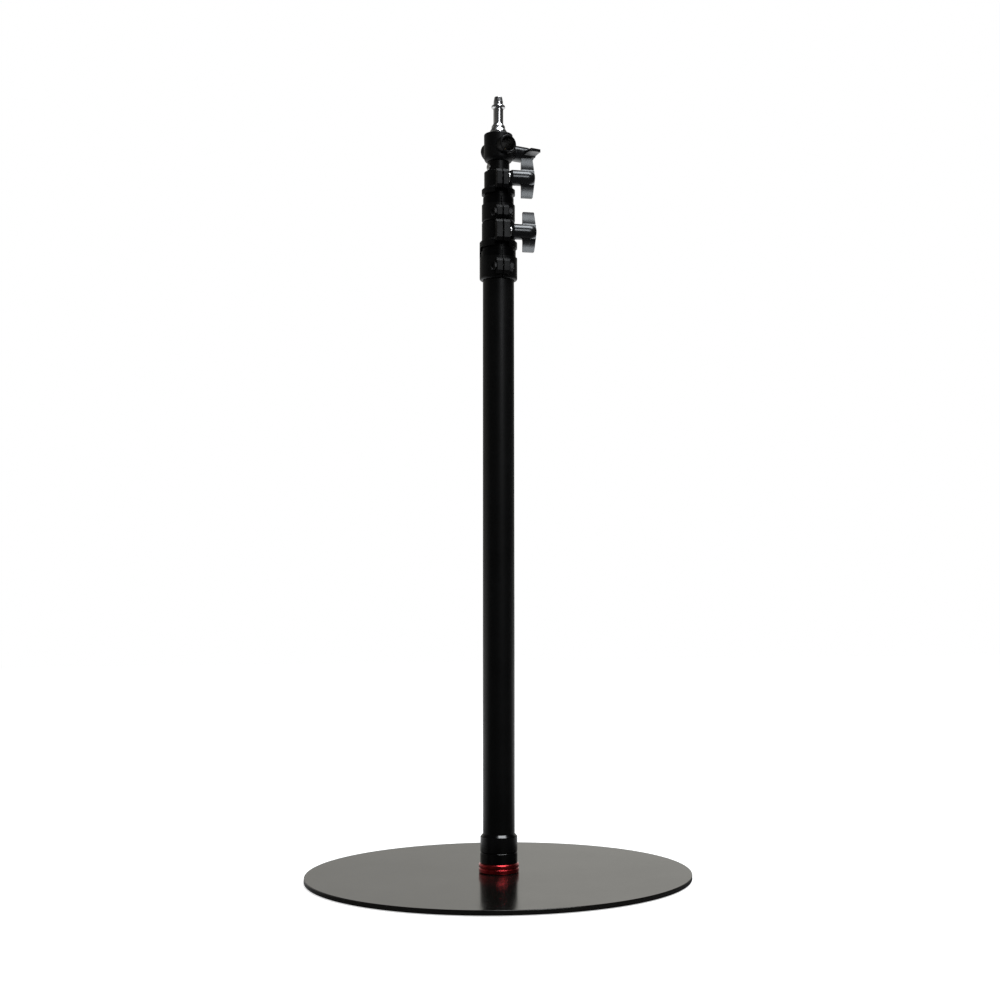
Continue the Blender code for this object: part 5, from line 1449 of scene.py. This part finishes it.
@dataclass
class Studio:
    """White ground, plain soft light and the camera."""

    camera_azimuth: float = -11.8
    camera_distance: float = 1.80486
    camera_height: float = 0.31704
    camera_pitch: float = 3.6364
    camera_yaw: float = -2.1388
    camera_roll: float = -0.182
    focal_pixels: float = 1560.0
    frame_pixels: float = 1000.0
    principal_x: float = 556.75
    sensor: float = 36.0
    near_clip: float = 0.05
    far_clip: float = 50.0
    floor_size: float = 12.0
    floor_roughness: float = 0.9
    floor_glow: float = 0.62
    floor_dark: float = 0.05
    floor_pale: float = 0.72
    paper_start: float = -0.1
    paper_end: float = 0.6
    room_level: float = 0.55
    room_tint: Colour = (1.0, 0.985, 0.925)

    def camera(self) -> None:
        """Camera at the photograph's place: on a circle round the column, then yaw, pitch and roll."""
        data = bpy.data.cameras.new("camera")
        data.sensor_width = self.sensor
        data.lens = self.focal_pixels * self.sensor / self.frame_pixels
        data.shift_x = (self.frame_pixels / 2 - self.principal_x) / self.frame_pixels
        data.clip_start, data.clip_end = self.near_clip, self.far_clip
        item = bpy.data.objects.new("camera", data)
        bpy.context.scene.collection.objects.link(item)
        azimuth = math.radians(self.camera_azimuth)
        heading = Matrix.Rotation(azimuth + math.radians(self.camera_yaw), 4, "Z")
        pitch = Matrix.Rotation(QUARTER + math.radians(self.camera_pitch), 4, "X")
        roll = Matrix.Rotation(math.radians(self.camera_roll), 4, "Z")
        away = self.camera_distance
        place = (away * math.sin(azimuth), -away * math.cos(azimuth), self.camera_height)
        item.matrix_world = Matrix.Translation(place) @ heading @ pitch @ roll
        bpy.context.scene.camera = item

    def _ramp(self, sheet: NodeSheet, stops: Sequence[Point]) -> bpy.types.Node:
        """A ramp of grey levels from pairs of place and level."""
        ramp = sheet.add("ShaderNodeValToRGB")
        elements = ramp.color_ramp.elements
        for index, (position, level) in enumerate(stops):
            element = elements[index] if index < 2 else elements.new(position)
            element.position = position
            element.color = (level, level, level, 1.0)
        return ramp

    def world(self) -> None:
        """Room light: white where the camera or glass look, a warm grey that changes round the stand and with
        height where mirrors look, and an even grey for diffuse light.
        """
        world = bpy.data.worlds.new("studio")
        world.use_nodes = True
        bpy.context.scene.world = world
        sheet = NodeSheet(world.node_tree)
        ground = world.node_tree.nodes["Background"]
        path = sheet.add("ShaderNodeLightPath")
        place = sheet.add("ShaderNodeTexCoord")
        split = sheet.add("ShaderNodeSeparateXYZ")
        sheet.link(place.outputs["Generated"], split.inputs["Vector"])
        back = sheet.maths("MULTIPLY", split.outputs["Y"], -1.0)
        azimuth = sheet.maths("ARCTAN2", split.outputs["X"], back)
        shifted = sheet.maths("ADD", azimuth, math.pi - math.radians(self.camera_azimuth))
        share = sheet.maths("FRACT", sheet.maths("MULTIPLY", shifted, 1.0 / math.tau))
        ramp = self._ramp(sheet, [((angle + 180.0) / 360.0, level) for angle, level in WALLS])
        sheet.link(share, ramp.inputs["Fac"])
        direct = sheet.maths("MAXIMUM", path.outputs["Is Camera Ray"], path.outputs["Is Transmission Ray"])
        rise = self._ramp(sheet, RISE)
        sheet.link(split.outputs["Z"], rise.inputs["Fac"])
        level = sheet.maths("MULTIPLY", ramp.outputs["Color"], rise.outputs["Color"])
        glossy = sheet.maths("MULTIPLY", path.outputs["Is Glossy Ray"], level)
        shown = sheet.maths("MAXIMUM", direct, glossy)
        hit = sheet.maths("MAXIMUM", direct, path.outputs["Is Glossy Ray"])
        rest = sheet.maths("MULTIPLY", sheet.maths("SUBTRACT", 1.0, hit), self.room_level)
        sheet.link(sheet.maths("ADD", shown, rest), ground.inputs["Strength"])
        tone = sheet.add("ShaderNodeMix", data_type="RGBA", A=WHITE, B=(*self.room_tint, 1.0))
        sheet.link(path.outputs["Is Glossy Ray"], tone.inputs["Factor"])
        sheet.link(tone.outputs["Result"], ground.inputs["Color"])

    def floor(self) -> None:
        """Pale floor that keeps the stand's shadow and is white to the camera elsewhere."""
        size = self.floor_size / 2
        points = [(-size, -size, 0.0), (size, -size, 0.0), (size, size, 0.0), (-size, size, 0.0)]
        mesh = bpy.data.meshes.new("floor")
        mesh.from_pydata(points, [], [[0, 1, 2, 3]])
        item = bpy.data.objects.new("floor", mesh)
        bpy.context.scene.collection.objects.link(item)
        material = bpy.data.materials.new("floor_white")
        material.use_nodes = True
        sheet = NodeSheet(material.node_tree)
        shader = material.node_tree.nodes["Principled BSDF"]
        sheet.set(shader, Roughness=self.floor_roughness, Specular_IOR_Level=0.0, Emission_Color=WHITE)
        path = sheet.add("ShaderNodeLightPath")
        place = sheet.add("ShaderNodeTexCoord")
        split = sheet.add("ShaderNodeSeparateXYZ")
        sheet.link(place.outputs["Object"], split.inputs["Vector"])
        paper = sheet.add("ShaderNodeMapRange", interpolation_type="SMOOTHSTEP")
        sheet.set(paper, From_Min=self.paper_start, From_Max=self.paper_end)
        sheet.link(split.outputs["Y"], paper.inputs["Value"])
        dark, pale = (self.floor_dark,) * 3 + (1.0,), (self.floor_pale,) * 3 + (1.0,)
        tone = sheet.add("ShaderNodeMix", data_type="RGBA", A=dark, B=pale)
        shown = sheet.maths("MULTIPLY", path.outputs["Is Glossy Ray"], paper.outputs["Result"])
        direct = sheet.maths("MAXIMUM", path.outputs["Is Camera Ray"], path.outputs["Is Transmission Ray"])
        other = sheet.maths("SUBTRACT", 1.0, path.outputs["Is Glossy Ray"])
        sheet.link(sheet.maths("MAXIMUM", shown, other), tone.inputs["Factor"])
        sheet.link(tone.outputs["Result"], shader.inputs["Base Color"])
        seen = sheet.maths("MAXIMUM", direct, shown)
        sheet.link(sheet.maths("MULTIPLY", seen, self.floor_glow), shader.inputs["Emission Strength"])
        mesh.materials.append(material)

    def lamps(self) -> None:
        """Two soft boxes: a large one overhead to the right and a small one in front, high as the head."""
        for lamp in LAMPS:
            data = bpy.data.lights.new(lamp.name, "AREA")
            data.shape = "RECTANGLE"
            data.size, data.size_y = lamp.width, lamp.height
            data.energy = lamp.power
            data.color = LAMP_COLOUR
            item = bpy.data.objects.new(lamp.name, data)
            item.location = lamp.place
            aim = Vector(lamp.target) - Vector(lamp.place)
            item.rotation_euler = aim.to_track_quat("-Z", "Y").to_euler()
            bpy.context.scene.collection.objects.link(item)

    def build(self) -> None:
        """Sets the studio up."""
        self.camera()
        self.world()
        self.floor()
        self.lamps()
        bpy.context.scene.view_settings.view_transform = "Standard"


def main() -> None:
    """Builds the studio and the stand from the floor up, and dresses what is carried over."""
    logging.basicConfig(level=logging.INFO, format="%(name)s: %(message)s")
    Studio().build()
    dresser = Dresser()
    Base(dresser).build()
    tubes = [
        ("outer_column_tube", "main_tube", "base_section", MAIN_RADIUS, 0.0015),
        ("middle_column_tube", "middle_tube", "middle_section", MIDDLE_RADIUS, 0.0012),
        ("inner_column_tube", "inner_tube", "inner_section", INNER_RADIUS, 0.0012),
    ]
    for name, node, body, radius, wall in tubes:
        TubePiece(dresser, name, node, body, radius, wall).build()
    Collar(dresser, "lower", LOWER, MAIN_RADIUS, MIDDLE_RADIUS, "base_section").build()
    Collar(dresser, "upper", UPPER, MIDDLE_RADIUS, INNER_RADIUS, "middle_section").build()
    Head(dresser).build()
    dresser.dress_nodes()


if __name__ == "__main__":
    main()
